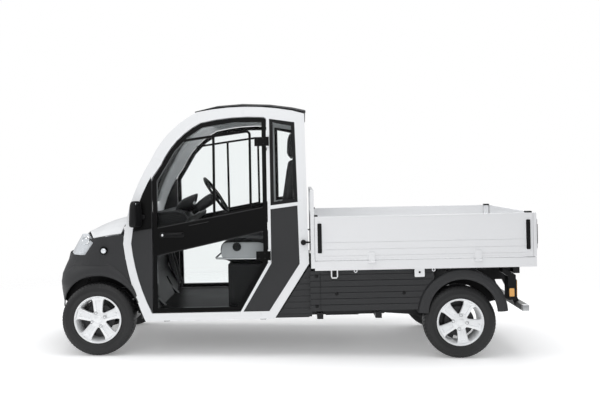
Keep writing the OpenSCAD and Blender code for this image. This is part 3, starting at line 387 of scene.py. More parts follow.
# Wheels: a treaded tyre and a five-spoke rim, drawn round the Y axis with the outer face towards +Y
def tyre_shape():
    shape = Shape()
    half = []
    for r, w in [(0.176, 0.062), (0.184, 0.070), (0.193, 0.0722), (0.200, 0.0752), (0.203, 0.0775), (0.206, 0.0776),
                 (0.209, 0.0775), (0.222, 0.0815), (0.2245, 0.0823), (0.227, 0.0822), (0.238, 0.0825), (0.241, 0.0818),
                 (0.254, 0.0802), (0.2565, 0.0806), (0.259, 0.0796), (0.268, 0.0762), (0.277, 0.0715), (0.2825, 0.0670)]:
        half.append((w, r, "wall"))
    for w in (0.0625, 0.056, 0.0496, 0.0488, 0.0432, 0.0424, 0.033, 0.0260, 0.0182, 0.0176, 0.0124, 0.0118, 0.005):
        half.append((w, 0.291 - 0.004 * (w / 0.062) ** 2, "tread"))
    section = half + [(-w, r, kind) for w, r, kind in reversed(half)]
    pitches = 62
    offsets = (0.0, 0.04, 0.24, 0.29, 0.5, 0.54, 0.70, 0.74)
    rings = []
    for p in range(pitches):
        for k, offset in enumerate(offsets):
            turn = 2 * math.pi * (p + offset) / pitches
            ring = []
            for w, r, kind in section:
                a = abs(w)
                depth = 0.0
                shift = 0.0
                if kind == "tread":
                    if 0.0430 < a < 0.0490 or 0.0120 < a < 0.0180:
                        depth = 0.0065
                    elif a >= 0.049 and k in (1, 2):
                        depth = 0.0060
                    elif a < 0.049 and k in (5, 6):
                        depth = 0.0035
                    shift = 0.35 * (a / 0.06) * (1 if w > 0 else -1)
                elif r > 0.262 and k in (1, 2):
                    depth = 0.0035
                elif 0.2635 < r < 0.2830 and k in (4, 5):
                    depth = -0.0008
                angle = turn + shift * 2 * math.pi / pitches
                radius = r - depth
                ring.append((radius * math.cos(angle), w, radius * math.sin(angle)))
            rings.append(ring)
    rings.append(rings[0])
    return shape.loft(rings, closed=True, caps=False)


def rim_shape():
    shape = Shape()
    # Barrel and outer lip
    shape.loft([
        [(r * math.cos(t), y, r * math.sin(t)) for y, r in [
            (0.072, 0.1895), (0.0765, 0.1893), (0.0785, 0.1865), (0.0775, 0.1825), (0.0725, 0.1790), (0.066, 0.1762),
            (0.060, 0.1728), (0.040, 0.1660), (0.010, 0.1600), (-0.060, 0.1575), (-0.072, 0.1700), (-0.077, 0.1850),
            (-0.0765, 0.1895), (-0.072, 0.1895), (-0.070, 0.1752), (-0.060, 0.1752), (-0.052, 0.1640), (0.020, 0.1660),
            (0.058, 0.1752), (0.070, 0.1752)]]
        for t in (2 * math.pi * k / 120 for k in range(121))
    ], closed=True, caps=False)
    # Spokes with raised edges and a long sunk middle
    stations = [
        (0.040, 0.034, 0.0570, 0.0), (0.058, 0.0345, 0.0595, 0.0), (0.064, 0.035, 0.0605, 0.0), (0.072, 0.0355, 0.0615, 1.0),
        (0.100, 0.0375, 0.0635, 1.0), (0.130, 0.041, 0.0650, 1.0), (0.148, 0.0435, 0.0655, 1.0), (0.156, 0.0455, 0.0655, 0.0),
        (0.164, 0.049, 0.0660, 0.0), (0.1715, 0.054, 0.0665, 0.0), (0.1745, 0.057, 0.0668, 0.0),
    ]
    for i in range(5):
        lean = math.radians(90 + i * 72)
        along = (math.cos(lean), math.sin(lean))
        rings = []
        for r, half, front, sunk in stations:
            ring = []
            for share, drop in ((-1, 0.010), (-0.93, 0.002), (-0.80, 0), (-0.44, 0), (-0.36, -1), (0.36, -1), (0.44, 0),
                                (0.80, 0), (0.93, 0.002), (1, 0.010)):
                across = share * half
                level = front - (0.0095 * sunk if drop < 0 else drop)
                reach = math.sqrt(max(r * r - across * across, 0)) if r > 0.15 else r
                ring.append((reach * along[0] - across * along[1], level, reach * along[1] + across * along[0]))
            for share in (0.92, -0.92):
                across = share * half
                ring.append((r * 0.97 * along[0] - across * along[1], front - 0.030, r * 0.97 * along[1] + across * along[0]))
            rings.append(ring)
        shape.loft(rings)
    # Hub, centre cap and rings
    shape.lathe([(0.020, 0.060), (0.050, 0.068), (0.0585, 0.066), (0.0600, 0.062), (0.0600, 0.036), (0.0575, 0.034),
                 (0.0575, 0.031), (0.0640, 0.029), (0.0660, 0.024), (0.0668, 0.014), (0.0670, 0.002)], (0, 0, 0), (0, 1, 0), 64)
    return shape


def rim_dark_shape():
    """Disc and the hub's back, seen between the spokes, with twenty small bosses round the disc's face."""
    shape = Shape()
    shape.lathe([(-0.004, 0.030), (-0.004, 0.118), (0.000, 0.121), (0.014, 0.121), (0.018, 0.118), (0.018, 0.078),
                 (0.030, 0.070), (0.034, 0.030)], (0, 0, 0), (0, 1, 0), 64)
    for k in range(20):
        t = math.radians(18 * k)
        centre = (0.099 * math.cos(t), 0, 0.099 * math.sin(t))
        shape.lathe([(0.0175, 0.0045), (0.0190, 0.0045), (0.0195, 0.0030)], centre, (0, 1, 0), 10)
    return shape


def dust_shield_shape():
    """A sheet ahead of the axle that hides the gap round the disc; it doesn't turn with the wheel."""
    shape = Shape()
    shape.prism(arc((0, 0), 0.1545, 80, 280, 30) + arc((0, 0), 0.060, 280, 80, 20), -0.026, -0.022)
    return shape


# Dark rings round the four nuts: painted shade for the shadow down in the nut wells, coloured dark iron.
def well_painted_shade_shape():
    shape = Shape()
    for k in range(4):
        t = math.radians(20 + 90 * k)
        centre = (0.0555 * math.cos(t), 0, 0.0555 * math.sin(t))
        shape.lathe([(0.050, 0.0135), (0.0614, 0.0135), (0.0618, 0.0122), (0.0560, 0.0110)], centre, (0, 1, 0), 24)
    return shape


def nut_shape():
    shape = Shape()
    for k in range(4):
        t = math.radians(20 + 90 * k)
        centre = (0.0555 * math.cos(t), 0, 0.0555 * math.sin(t))
        shape.lathe([(0.054, 0.0088), (0.0660, 0.0088), (0.0690, 0.0066), (0.0694, 0.0020)], centre, (0, 1, 0), 6)
    # Valve stem
    shape.tube([(0.147, 0.060, 0.052), (0.150, 0.074, 0.053), (0.151, 0.082, 0.0535)], [0.0045, 0.004, 0.0035], 10)
    return shape


tyre, rim, rim_dark, well_painted_shades, nuts = tyre_shape(), rim_shape(), rim_dark_shape(), well_painted_shade_shape(), nut_shape()
for end, x, z in (("front", 0, AXLE_Z), ("rear", WHEELBASE, REAR_AXLE_Z)):
    for hand, sign in (("left", -1), ("right", 1)):
        space = BODY @ Matrix.Translation((x, sign * TRACK / 2, z))
        if sign < 0:
            space = space @ FLIP
        if end == "rear":
            space = space @ Matrix.Rotation(math.radians(28), 4, "Y")
        body = f"wheel_{end}_{hand}"
        made = tyre.piece(f"treaded_tyre_{end}_{hand}", RUBBER, "tyre_rubber", body, space, smooth=28)
        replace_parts(made, f"tyre_{end}_{hand}")
        made = rim.piece(f"spoked_rim_{end}_{hand}", ALLOY, "alloy_silver", body, space, smooth=28)
        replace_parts(made, f"rim_{end}_{hand}")
        rim_dark.piece(f"brake_disc_{end}_{hand}", DARK_IRON_AND_PAINTED_SHADE, "cast_housing", body, space, smooth=28)
        # The dark rings round the nuts are painted shade.
        well_painted_shades.piece(f"nut_wells_{end}_{hand}", DARK_IRON_AND_PAINTED_SHADE, "cast_housing", body, space, smooth=28)
        still = f"knuckle_{hand}" if end == "front" else "vehicle"
        dust_shield_shape().piece(f"dust_shield_{end}_{hand}", DARK_IRON_AND_PAINTED_SHADE, "cast_housing", still, space, bevel=0.001)
        nuts.piece(f"wheel_nuts_{end}_{hand}", CHROME, "bare_metal", body, space, smooth=28)


# Doors: the sliding window's frame, belt seal, handle, lock and hinge bolts
def belt(x):
    return 1.004 + (x - 0.452) * 0.162 / 0.921


def lower_band(x):
    return 0.781 + (x - 0.452) * 0.195 / 0.921


for hand, space in SIDES.items():
    body = f"door_{hand}"
    frame_bars = Shape()
    corner = arc((1.213, 1.752), 0.028, 97, 0, 6)
    frame_bars.bar([(0.646, 1.706), (0.946, 1.747)] + corner + [(1.241, belt(1.241) + 0.002)], 0.0095, -0.034, -0.010)
    frame_bars.bar([(0.946, 1.744), (0.946, belt(0.946) + 0.002)], 0.0095, -0.034, -0.010)
    frame_bars.bar([(0.946, belt(0.946) + 0.010), (1.241, belt(1.241) + 0.010)], 0.008, -0.034, -0.010)
    frame_bars.piece(f"sliding_window_frame_{hand}", DOORBLACK, "black_plastic", body, space, bevel=0.002)
    seal = Shape()
    seal.bar([(0.490, belt(0.490)), (1.336, belt(1.336))], 0.004, -0.044, 0.0005)
    seal.bar([(0.490, lower_band(0.490)), (1.336, lower_band(1.336))], 0.004, -0.044, 0.0005)
    seal.tube([(0.742, 0.000, belt(0.742) - 0.030), (0.900, 0.000, belt(0.900) - 0.030)], 0.0028, 8)
    seal.piece(f"belt_seals_{hand}", RUBBER, "black_plastic", body, space, smooth=50)
    grip = Shape()
    grip.prism([(x + 0.530, z + 0.952) for x, z in arc((0, 0), 0.0245, 0, 345, 23)], -0.004, 0.009)
    grip.prism(rounded(0.522, 0.704, 0.932, 0.972, 0.014), -0.004, 0.003)
    grip.tube([(0.548, 0.004, 0.953), (0.560, 0.020, 0.955), (0.580, 0.026, 0.957), (0.660, 0.026, 0.961),
               (0.684, 0.020, 0.962), (0.694, 0.002, 0.962)], [0.0085, 0.009, 0.0095, 0.0095, 0.009, 0.008], 12)
    grip.piece(f"door_handle_{hand}", BLACK, "black_plastic", body, space, bevel=0.002)
    lock = Shape()
    lock.lathe([(0.006, 0.0090), (0.0115, 0.0088), (0.0125, 0.0075), (0.0118, 0.0060), (0.0112, 0.0010)], (0.530, 0, 0.952), (0, 1, 0), 28)
    lock.piece(f"door_lock_{hand}", CHROME, "bare_metal", body, space)
    bolts = Shape()
    for z in (1.692, 0.772):
        for x in (1.305, 1.352):
            for dz in (-0.020, 0.020):
                bolts.lathe([(0.018, 0.0062), (0.0205, 0.0060), (0.0225, 0.0040), (0.0230, 0.0012)], (x, 0, z + dz), (0, 1, 0), 12)
    bolts.piece(f"hinge_bolts_{hand}", BLACK, "black_plastic", body, space)
    inner = Shape()
    inner.prism([(0.50, 0.86), (1.05, 0.975), (1.05, 1.03), (0.50, 0.93)], -0.052, -0.041)
    inner.piece(f"inner_door_pull_{hand}", CHARCOAL, "charcoal_plastic", body, space, bevel=0.006, segments=3)


# Seats: pressed foam under vinyl, on a shell with side covers
def puff(obj, cap):
    """Blows the foam up a little under its cover, with each point moving at most cap."""
    remesh = obj.modifiers.new("remesh", "REMESH")
    remesh.mode = "VOXEL"
    remesh.voxel_size = 0.0065
    graph = bpy.context.evaluated_depsgraph_get()
    mesh = bpy.data.meshes.new_from_object(obj.evaluated_get(graph))
    obj.modifiers.clear()
    obj.data = mesh
    rest = [v.co.copy() for v in mesh.vertices]
    cloth = obj.modifiers.new("cloth", "CLOTH")
    cloth.settings.use_pressure = True
    cloth.settings.uniform_pressure_force = 4
    cloth.settings.effector_weights.gravity = 0
    cloth.settings.quality = 4
    cloth.collision_settings.use_collision = False
    cloth.point_cache.frame_start = 1
    cloth.point_cache.frame_end = 20
    for step in range(1, 17):
        bpy.context.scene.frame_set(step)
    graph = bpy.context.evaluated_depsgraph_get()
    blown = obj.evaluated_get(graph).data
    moved = [v.co.copy() for v in blown.vertices]
    obj.modifiers.clear()
    for vertex, start, end in zip(obj.data.vertices, rest, moved):
        step = end - start
        if step.length > cap:
            step *= cap / step.length
        vertex.co = start + step
    bpy.context.scene.frame_set(1)


def pad_rings(profile, half, y, pull, rows=26):
    """Rings of a closed pad: the profile (x, z) is drawn in towards its middle near each side."""
    cx = sum(p[0] for p in profile) / len(profile)
    cz = sum(p[1] for p in profile) / len(profile)
    rings = []
    for i in range(rows + 1):
        t = -1 + 2 * i / rows
        t = math.sin(t * math.pi / 2)
        size = (1 - abs(t) ** pull) ** (1 / 2.6) if abs(t) < 1 else 0.02
        size = 0.30 + 0.70 * size if abs(t) < 1 else 0.28
        rings.append([(cx + (x - cx) * size, y + half * t, cz + (z - cz) * size) for x, z in profile])
    return rings


def smooth_outline(points, steps=4):
    """A closed curve through points."""
    out = []
    n = len(points)
    for i in range(n):
        p0, p1, p2, p3 = (points[(i + k - 1) % n] for k in range(4))
        for s in range(steps):
            t = s / steps
            out.append(tuple(
                0.5 * (2 * b + (c - a) * t + (2 * a - 5 * b + 4 * c - d) * t * t + (3 * b - a - 3 * c + d) * t ** 3)
                for a, b, c, d in zip(p0, p1, p2, p3)
            ))
    return out


SEAT_PADS = {
    "cushion": ([(0.972, 0.795), (0.985, 0.862), (1.065, 0.892), (1.24, 0.884), (1.388, 0.868), (1.400, 0.780),
                 (1.365, 0.712), (1.080, 0.708), (0.990, 0.742)], 0.226, 0.012, 9),
    "backrest": ([(1.408, 0.800), (1.432, 0.900), (1.478, 1.090), (1.512, 1.260), (1.556, 1.520), (1.590, 1.545),
                  (1.612, 1.498), (1.560, 1.150), (1.522, 0.812), (1.486, 0.752), (1.428, 0.770)], 0.200, 0.010, 8),
    "headrest": ([(1.546, 1.572), (1.548, 1.690), (1.562, 1.758), (1.592, 1.768), (1.612, 1.732), (1.608, 1.612),
                  (1.592, 1.572)], 0.108, 0.006, 6),
}
replaced = False
for kind, (outline, half, cap, pull) in SEAT_PADS.items():
    for hand, y in (("left", -0.330), ("right", 0.330)):
        shape = Shape().loft(pad_rings(smooth_outline(outline, 3), half, y, pull))
        pad = shape.piece(f"seat_{kind}_{hand}", VINYL, "seat_vinyl", smooth=180)
        puff(pad, cap)
        # Sewn channels across the pad and piping along its sides
        inverse = BODY.inverted()
        work = bmesh.new()
        work.from_mesh(pad.data)
        for vertex in work.verts:
            local = inverse @ vertex.co
            side = abs(local.y - y) / half
            groove = 0.0
            if kind == "cushion" and local.z > 0.80:
                groove = sum(math.exp(-((local.x - x) / 0.006) ** 2) for x in (1.10, 1.20, 1.30)) * (side < 0.62)
            if kind == "backrest" and local.x < 1.30 + (local.z - 0.8) * 0.2 + 0.16:
                groove = sum(math.exp(-((local.z - z) / 0.007) ** 2) for z in (0.98, 1.12, 1.26, 1.40)) * (side < 0.62)
            groove += math.exp(-((side - 0.66) / 0.022) ** 2) * (kind != "headrest")
            vertex.co -= vertex.normal * 0.006 * min(groove, 1)
        work.to_mesh(pad.data)
        work.free()
        pad.data.shade_smooth()
        pad.modifiers.new("divide", "SUBSURF").render_levels = 1
        pad.modifiers["divide"].levels = 1
        if not replaced:
            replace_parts(pad, "seats")
            replaced = True
for hand, space in HANDS.items():
    posts = Shape()
    for dy in (-0.055, 0.055):
        posts.tube([(1.586, 0.330 + dy, 1.50), (1.588, 0.330 + dy, 1.60)], 0.006, 10)
    posts.tube([(0.958, 0.120, 0.735), (0.944, 0.128, 0.742), (0.940, 0.160, 0.744), (0.940, 0.500, 0.744),
                (0.946, 0.530, 0.742), (1.06, 0.560, 0.740), (1.30, 0.562, 0.738)], 0.008, 10)
    posts.piece(f"seat_tubes_{hand}", CHROME, "bare_metal", space=space)
    cover = Shape()
    cover.prism(smooth_outline([(0.992, 0.770), (0.996, 0.842), (1.030, 0.872), (1.20, 0.872), (1.330, 0.862), (1.348, 0.800),
                                (1.338, 0.752), (1.20, 0.742), (1.03, 0.748)], 4), 0.558, 0.574)
    cover.piece(f"seat_side_cover_{hand}", GREY, "charcoal_plastic", space=space, bevel=0.004, segments=3)
    knob = Shape()
    knob.lathe([(0.572, 0.034), (0.580, 0.034), (0.584, 0.030), (0.585, 0.012)], (1.118, 0, 0.838), (0, 1, 0), 32)
    for k in range(12):
        t = math.radians(30 * k)
        knob.tube([(1.118 + 0.033 * math.cos(t), 0.574, 0.838 + 0.033 * math.sin(t)),
                   (1.118 + 0.033 * math.cos(t), 0.582, 0.838 + 0.033 * math.sin(t))], 0.004, 8)
    knob.piece(f"recline_knob_{hand}", BLACK, "black_plastic", space=space)

# Steering wheel, column stalks and instruments
COLUMN = BODY @ Matrix.Translation((0.934, -0.350, 1.257)) @ Matrix.Rotation(math.radians(-90 - 34), 4, "Y")
wheel = Shape()
steps = 96
wheel.loft([
    [
        ((0.168 + (0.0125 + 0.0015 * math.cos(8 * t)) * math.cos(a)) * math.cos(t),
         (0.168 + (0.0125 + 0.0015 * math.cos(8 * t)) * math.cos(a)) * math.sin(t),
         (0.0120 + 0.0008 * math.cos(8 * t)) * math.sin(a))
        for a in (2 * math.pi * k / 16 for k in range(16))
    ]
    for t in (2 * math.pi * k / steps for k in range(steps + 1))
], caps=False)
for lean in (90, 210, 330):
    t = math.radians(lean)
    rings = []
    for r, half, level in ((0.030, 0.024, -0.016), (0.070, 0.020, -0.012), (0.110, 0.013, -0.006), (0.160, 0.015, 0.0)):
        rings.append([
            (r * math.cos(t) - s * half * math.sin(t), r * math.sin(t) + s * half * math.cos(t), level + d)
            for s, d in ((-1, 0), (-0.7, -0.005), (0.7, -0.005), (1, 0), (0.7, 0.006), (-0.7, 0.006))
        ])
    wheel.loft(rings)
wheel.lathe([(0.012, 0.030), (0.010, 0.044), (-0.008, 0.052), (-0.016, 0.047), (-0.019, 0.030), (-0.0195, 0.004)], (0, 0, 0), (0, 0, 1), 48)
wheel.lathe([(0.0215, 0.025), (0.006, 0.026)], (0, 0, 0), (0, 0, 1), 32)
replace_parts(wheel.piece("rimmed_steering_wheel", BLACK, "black_plastic", "steering_wheel", COLUMN, smooth=50), "steering_wheel")
shroud = Shape()
shroud.loft([
    [(w * math.cos(t), w * 0.85 * math.sin(t), z) for t in (2 * math.pi * k / 24 for k in range(24))]
    for z, w in ((0.030, 0.034), (0.036, 0.042), (0.080, 0.047), (0.150, 0.044), (0.190, 0.036))
])
for sign in (-1, 1):
    shroud.tube([(0, sign * 0.030, 0.060), (-0.004, sign * 0.080, 0.052), (-0.010, sign * 0.150, 0.040), (-0.012, sign * 0.190, 0.036)],
                [0.006, 0.0055, 0.006, 0.008], 10)
shroud.piece("column_shroud", CHARCOAL, "charcoal_plastic", space=COLUMN, bevel=0.002)
pod = Shape()
pod.loft([
    [(x + r * 0.30 * math.sin(t), -0.350 + r * 1.35 * math.cos(t), z + r * math.sin(t)) for t in (2 * math.pi * k / 32 for k in range(32))]
    for x, z, r in ((0.600, 1.150, 0.050), (0.640, 1.168, 0.066), (0.700, 1.186, 0.074), (0.742, 1.197, 0.076), (0.752, 1.200, 0.073), (0.744, 1.199, 0.066))
])
pod.piece("instrument_pod", BLACK, "black_plastic", smooth=40)
dials = Shape()
for dy, r in ((-0.040, 0.034), (0.042, 0.028)):
    dials.lathe([(0.000, r), (0.003, r), (0.004, r - 0.003), (0.0025, r - 0.004), (0.0025, 0.002)], (0.7455, -0.350 + dy, 1.1995), (0.955, 0, 0.29), 32)
dials.piece("dial_rings", CHROME, "bare_metal")

# Dash top roll, vents, shelf lip, ceiling console, inside mirror and lining
dash = Shape()
dash.loft([
    [(x, y, z) for y in (-0.585, 0.585)] + [(x + dx, y, z + dz) for y in (0.585, -0.585)]
    for x, z, dx, dz in ((0.425, 1.118, 0.004, 0.008), (0.520, 1.128, 0.0, 0.010), (0.640, 1.132, 0.0, 0.012), (0.690, 1.118, 0.008, 0.012), (0.716, 1.080, 0.014, 0.006), (0.712, 1.050, 0.012, -0.004))
])
dash.piece("dash_pad", CHARCOAL, "charcoal_plastic", bevel=0.003)
vents = Shape()
for y in (-0.520, -0.140, 0.140, 0.500):
    for k in range(5):
        vents.prism([(y - 0.045, 1.010 + 0.011 * k), (y + 0.045, 1.010 + 0.011 * k), (y + 0.045, 1.015 + 0.011 * k), (y - 0.045, 1.015 + 0.011 * k)], 0.660, 0.690, "yz")
vents.piece("dash_vents", BLACK, "black_plastic", bevel=0.0008)
ceiling = Shape()
roof_line = [(0.822, 1.944), (0.949, 1.964), (1.077, 1.976), (1.206, 1.979), (1.335, 1.975), (1.463, 1.962), (1.590, 1.941)]


def lining(x, t, gap):
    up = 0.27 + (table_at(roof_line, x) - 0.27) * math.cos(LEAN) + 0.0068
    return up + 0.046 * (1 - abs(t) ** 2.4) - gap


rows = [0.90, 1.0, 1.1, 1.2, 1.3, 1.4, 1.5, 1.585]
cols = [-1 + k / 6 for k in range(13)]
outer = [[(x, 0.500 * t, lining(x, t * 0.86, 0.010)) for t in cols] for x in rows]
inner = [[(x, 0.500 * t, lining(x, t * 0.86, 0.020)) for t in reversed(cols)] for x in rows]
ceiling.loft([a + b for a, b in zip(outer, inner)])
ceiling.piece("roof_lining", LINER, "charcoal_plastic", smooth=40)
console = Shape()
console.loft([
    [(x, y, z) for y, z in ((-w, top), (w, top), (w, top - h * 0.5), (w * 0.8, top - h), (-w * 0.8, top - h), (-w, top - h * 0.5))]
    for x, w, top, h in ((0.830, 0.060, 1.900, 0.018), (0.860, 0.110, 1.925, 0.052), (0.960, 0.135, 1.945, 0.070), (1.080, 0.130, 1.962, 0.060), (1.160, 0.090, 1.975, 0.030))
])
console.piece("ceiling_console", GREY, "charcoal_plastic", bevel=0.008, segments=3)
mirror = Shape()
mirror.loft([
    [(x + 0.10 * abs(y) / 0.13, y, 1.800 + h * math.sin(t) + 0) if False else (x, y * math.cos(t), 1.795 + h * math.sin(t)) for t in (2 * math.pi * k / 28 for k in range(28))]
    for x, y, h in ((0.640, 0.090, 0.018), (0.652, 0.122, 0.030), (0.668, 0.130, 0.034), (0.672, 0.126, 0.031))
])
mirror.tube([(0.655, 0, 1.815), (0.690, 0, 1.860), (0.760, 0, 1.880)], 0.006, 10)
mirror.piece("inside_mirror", BLACK, "black_plastic", smooth=40)
glass_face = Shape()
glass_face.loft([[(x, y * math.cos(t), 1.795 + h * math.sin(t)) for t in (2 * math.pi * k / 28 for k in range(28))]
                 for x, y, h in ((0.670, 0.122, 0.028), (0.6735, 0.120, 0.026))])
glass_face.piece("inside_mirror_glass", REFLECTOR, "bare_metal")

# Windscreen wiper
hoop_front = [(0.890, 0.213), (0.991, 0.218), (1.090, 0.230), (1.187, 0.250), (1.283, 0.283), (1.377, 0.325), (1.469, 0.377), (1.558, 0.438)]


def screen(z, t, off):
    rise = max(0.0, min(1.0, (z - 1.098) / 0.86))
    bow = 0.046 * (1 - 0.6 * rise)
    return (table_at(hoop_front, z) + 0.016 - bow * (1 - t * t) - off, t * 0.575, z)


wiper = Shape()
wiper.tube([screen(1.158 + 0.040 * k / 8, -0.60 + 1.1 * k / 8, 0.010) for k in range(9)], 0.005, 8)
wiper.tube([screen(1.136, 0.02, 0.010), screen(1.156, -0.10, 0.020), screen(1.174, -0.25, 0.018), screen(1.172, -0.20, 0.011)], 0.006, 8)
wiper.lathe([(-0.002, 0.013), (0.008, 0.013), (0.013, 0.009), (0.014, 0.002)], screen(1.136, 0.02, 0.002), (-0.95, 0, 0.3), 24)
wiper.piece("wiper", BLACK, "black_plastic")

# Nose: lens, round lamp element, marker bezel and lens, arch lip
HOOP_FRONT_X = [(0.270, 0.388), (0.320, 0.362), (0.376, 0.337), (0.432, 0.313), (0.489, 0.294), (0.546, 0.279), (0.604, 0.266), (0.667, 0.249), (0.720, 0.239), (0.775, 0.229), (0.830, 0.220), (0.890, 0.213), (0.970, 0.214)]
FASCIA = [(0.392, -0.396), (0.470, -0.408), (0.560, -0.415), (0.645, -0.401), (0.727, -0.352), (0.806, -0.330)]


def fascia_y(x, z, off=0.0):
    rear = table_at(HOOP_FRONT_X, z) - 0.004
    front = table_at(FASCIA, min(z, 0.806)) + max(0, z - 0.806) * 0.5
    share = max(0.0, min(1.0, (rear - x) / (rear - front)))
    turn = math.acos(min(1, share ** (1 / 0.75)))
    return (SIDE_Y - (z - SILL_Z) * math.tan(LEAN)) * math.sin(turn) ** 0.6 + off


# Rows of the flare: share of the way from the arch's edge to the crease, and how far it stands out
FLARE_ROWS = [(0.00, -0.001), (0.00, 0.005), (0.10, 0.0095), (0.28, 0.0135), (0.50, 0.0150), (0.72, 0.0125),
              (0.90, 0.0070), (0.97, 0.0030), (1.00, -0.001)]


def flare_top(angle):
    """Radius of the crease over the arch: level over the front half, then falling in to the hoop."""
    lean = math.radians(angle)
    level = 0.432 / max(0.62, math.sin(lean)) if angle > 78 else 0.448 - 0.0016 * (78 - angle)
    return min(level, 0.475, 0.380 / max(0.2, -math.cos(lean)))


for hand, space in HANDS.items():
    flare = Shape()
    rings = []
    for k in range(57):
        angle = 30 + 122 * k / 56
        fade = min(1, (angle - 30) / 14, (152 - angle) / 12)
        lean = math.radians(angle)
        ring = []
        for share, out in FLARE_ROWS:
            radius = 0.357 + share * (flare_top(angle) - 0.357)
            x, z = radius * math.cos(lean), AXLE_Z + radius * math.sin(lean)
            ring.append((x, fascia_y(x, z) + out * max(fade, 0.05), z))
        rings.append(ring)
    flare.loft(rings, closed=True)
    flare.piece(f"arch_flare_{hand}", CHARCOAL, "charcoal_plastic", space=space, smooth=50)
    shield = Shape()
    shield.prism([(-0.352, 0.400), (-0.352, 0.610), (-0.250, 0.640), (-0.150, 0.600), (-0.190, 0.420), (-0.262, 0.335)], 0.364, 0.367)
    shield.piece(f"splash_shield_{hand}", BLACK, "black_plastic", space=space, bevel=0.001)
    house = Shape()
    ring = arc((2.928, 0.276), 0.354, 12, 168, 40) + arc((2.928, 0.276), 0.215, 168, 12, 28)
    house.prism(ring, 0.470, 0.473)
    house.piece(f"rear_wheel_house_{hand}", BLACK, "black_plastic", space=space, bevel=0.001)
    housing = Shape()
    base = Matrix.Translation((0.345, SIDE_Y - (1.130 - SILL_Z) * math.tan(LEAN) + 0.034, 0)) @ Matrix.Rotation(math.radians(20), 4, "Z")
    outline = [(-0.037, 0.006), (-0.018, -0.002), (0.022, 0.000), (0.035, 0.010), (0.037, 0.030), (0.037, 0.092), (0.029, 0.113),
               (0.008, 0.120), (-0.022, 0.101), (-0.036, 0.055)]
    curve = smooth_outline(outline, 3)
    rings = []
    for share in (0.0, 0.012, 0.04, 0.10, 0.22, 0.40, 0.60, 0.76, 0.88, 0.95, 0.985, 1.0):
        swell = (1 - abs(2 * share - 1) ** (10 if share < 0.5 else 4.5)) ** 0.45
        drift = 0.012 * (share - 0.5)
        rings.append([
            base @ Vector((0.002 + (x - 0.002) * (0.42 + 0.58 * swell) + drift * (x < 0),
                           0.056 + (y - 0.056) * (0.50 + 0.50 * swell), 1.024 + 0.208 * share))
            for x, y in curve
        ])
    housing.loft(rings)
    housing.tube([base @ Vector((0.010, 0.030, 1.110)), base @ Vector((0.016, -0.010, 1.104)), base @ Vector((0.022, -0.034, 1.100))],
                 [0.015, 0.016, 0.020], 16)
    made = housing.piece(f"mirror_housing_{hand}", BLACK, "black_plastic", space=space, smooth=50)
    if hand == "left":
        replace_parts(made, "mirrors")
    panel = Shape()
    panel.prism([(0.299, 0.994), (0.440, 1.018), (0.440, 1.425), (0.413, 1.377), (0.3675, 1.283), (0.331, 1.187), (0.312, 1.100)],
                -0.006, 0.0008)
    panel.bar([(0.292, 0.988), (0.440, 1.013)], 0.0035, -0.006, 0.0016)
    panel.piece(f"mirror_panel_{hand}", DOORBLACK, "black_plastic", space=SIDES[hand], bevel=0.0004)
    lip = Shape()
    path = []
    for k in range(37):
        t = math.radians(22 + 146 * k / 36)
        x, z = 0.355 * math.cos(t), AXLE_Z + 0.355 * math.sin(t)
        path.append((x, fascia_y(x, z) - 0.002, z))
    lip.tube(path, 0.0055, 10)
    lip.piece(f"arch_lip_{hand}", CHARCOAL, "charcoal_plastic", space=space)
    bezel = Shape()
    y0 = SIDE_Y - (0.837 - SILL_Z) * math.tan(LEAN)
    bezel.lathe([(-0.002, 0.0215), (0.006, 0.0200), (0.0095, 0.0225), (0.0100, 0.0275), (0.006, 0.0315), (-0.004, 0.0330)], (0.055, y0 - 0.001, 0.837), (0, 1, -0.06), 40)
    bezel.piece(f"marker_bezel_{hand}", DOORBLACK, "black_plastic", space=space)
    dome = Shape()
    dome.lathe([(0.000, 0.0185), (0.0075, 0.0180), (0.0100, 0.014), (0.0112, 0.008), (0.0115, 0.001)], (0.055, y0, 0.837), (0, 1, -0.06), 32)
    dome.piece(f"marker_lens_{hand}", LENS, "lamp_clear", space=space)
    ring = Shape()
    centre = (-0.104, 0.560, 0.914)
    ring.lathe([(0.004, 0.036), (0.018, 0.036), (0.022, 0.033), (0.020, 0.029), (0.010, 0.028)], centre, (-0.35, 0.88, 0.18), 40)
    ring.lathe([(0.006, 0.030), (0.014, 0.022), (0.017, 0.010), (0.018, 0.001)], centre, (-0.35, 0.88, 0.18), 32)
    ring.piece(f"lamp_element_{hand}", CHROME, "bare_metal", space=space)
    ribs = Shape()
    for k in range(5):
        s = 0.24 + 0.16 * k
        a, b = (-0.118 - 0.052 * s, 0.5855, 0.905 - 0.092 * s), (-0.062 - 0.058 * s, 0.5862, 0.893 - 0.090 * s)
        ribs.tube([a, b], 0.0022, 8)
    ribs.piece(f"lamp_ribs_{hand}", LENS, "lamp_clear", space=space)

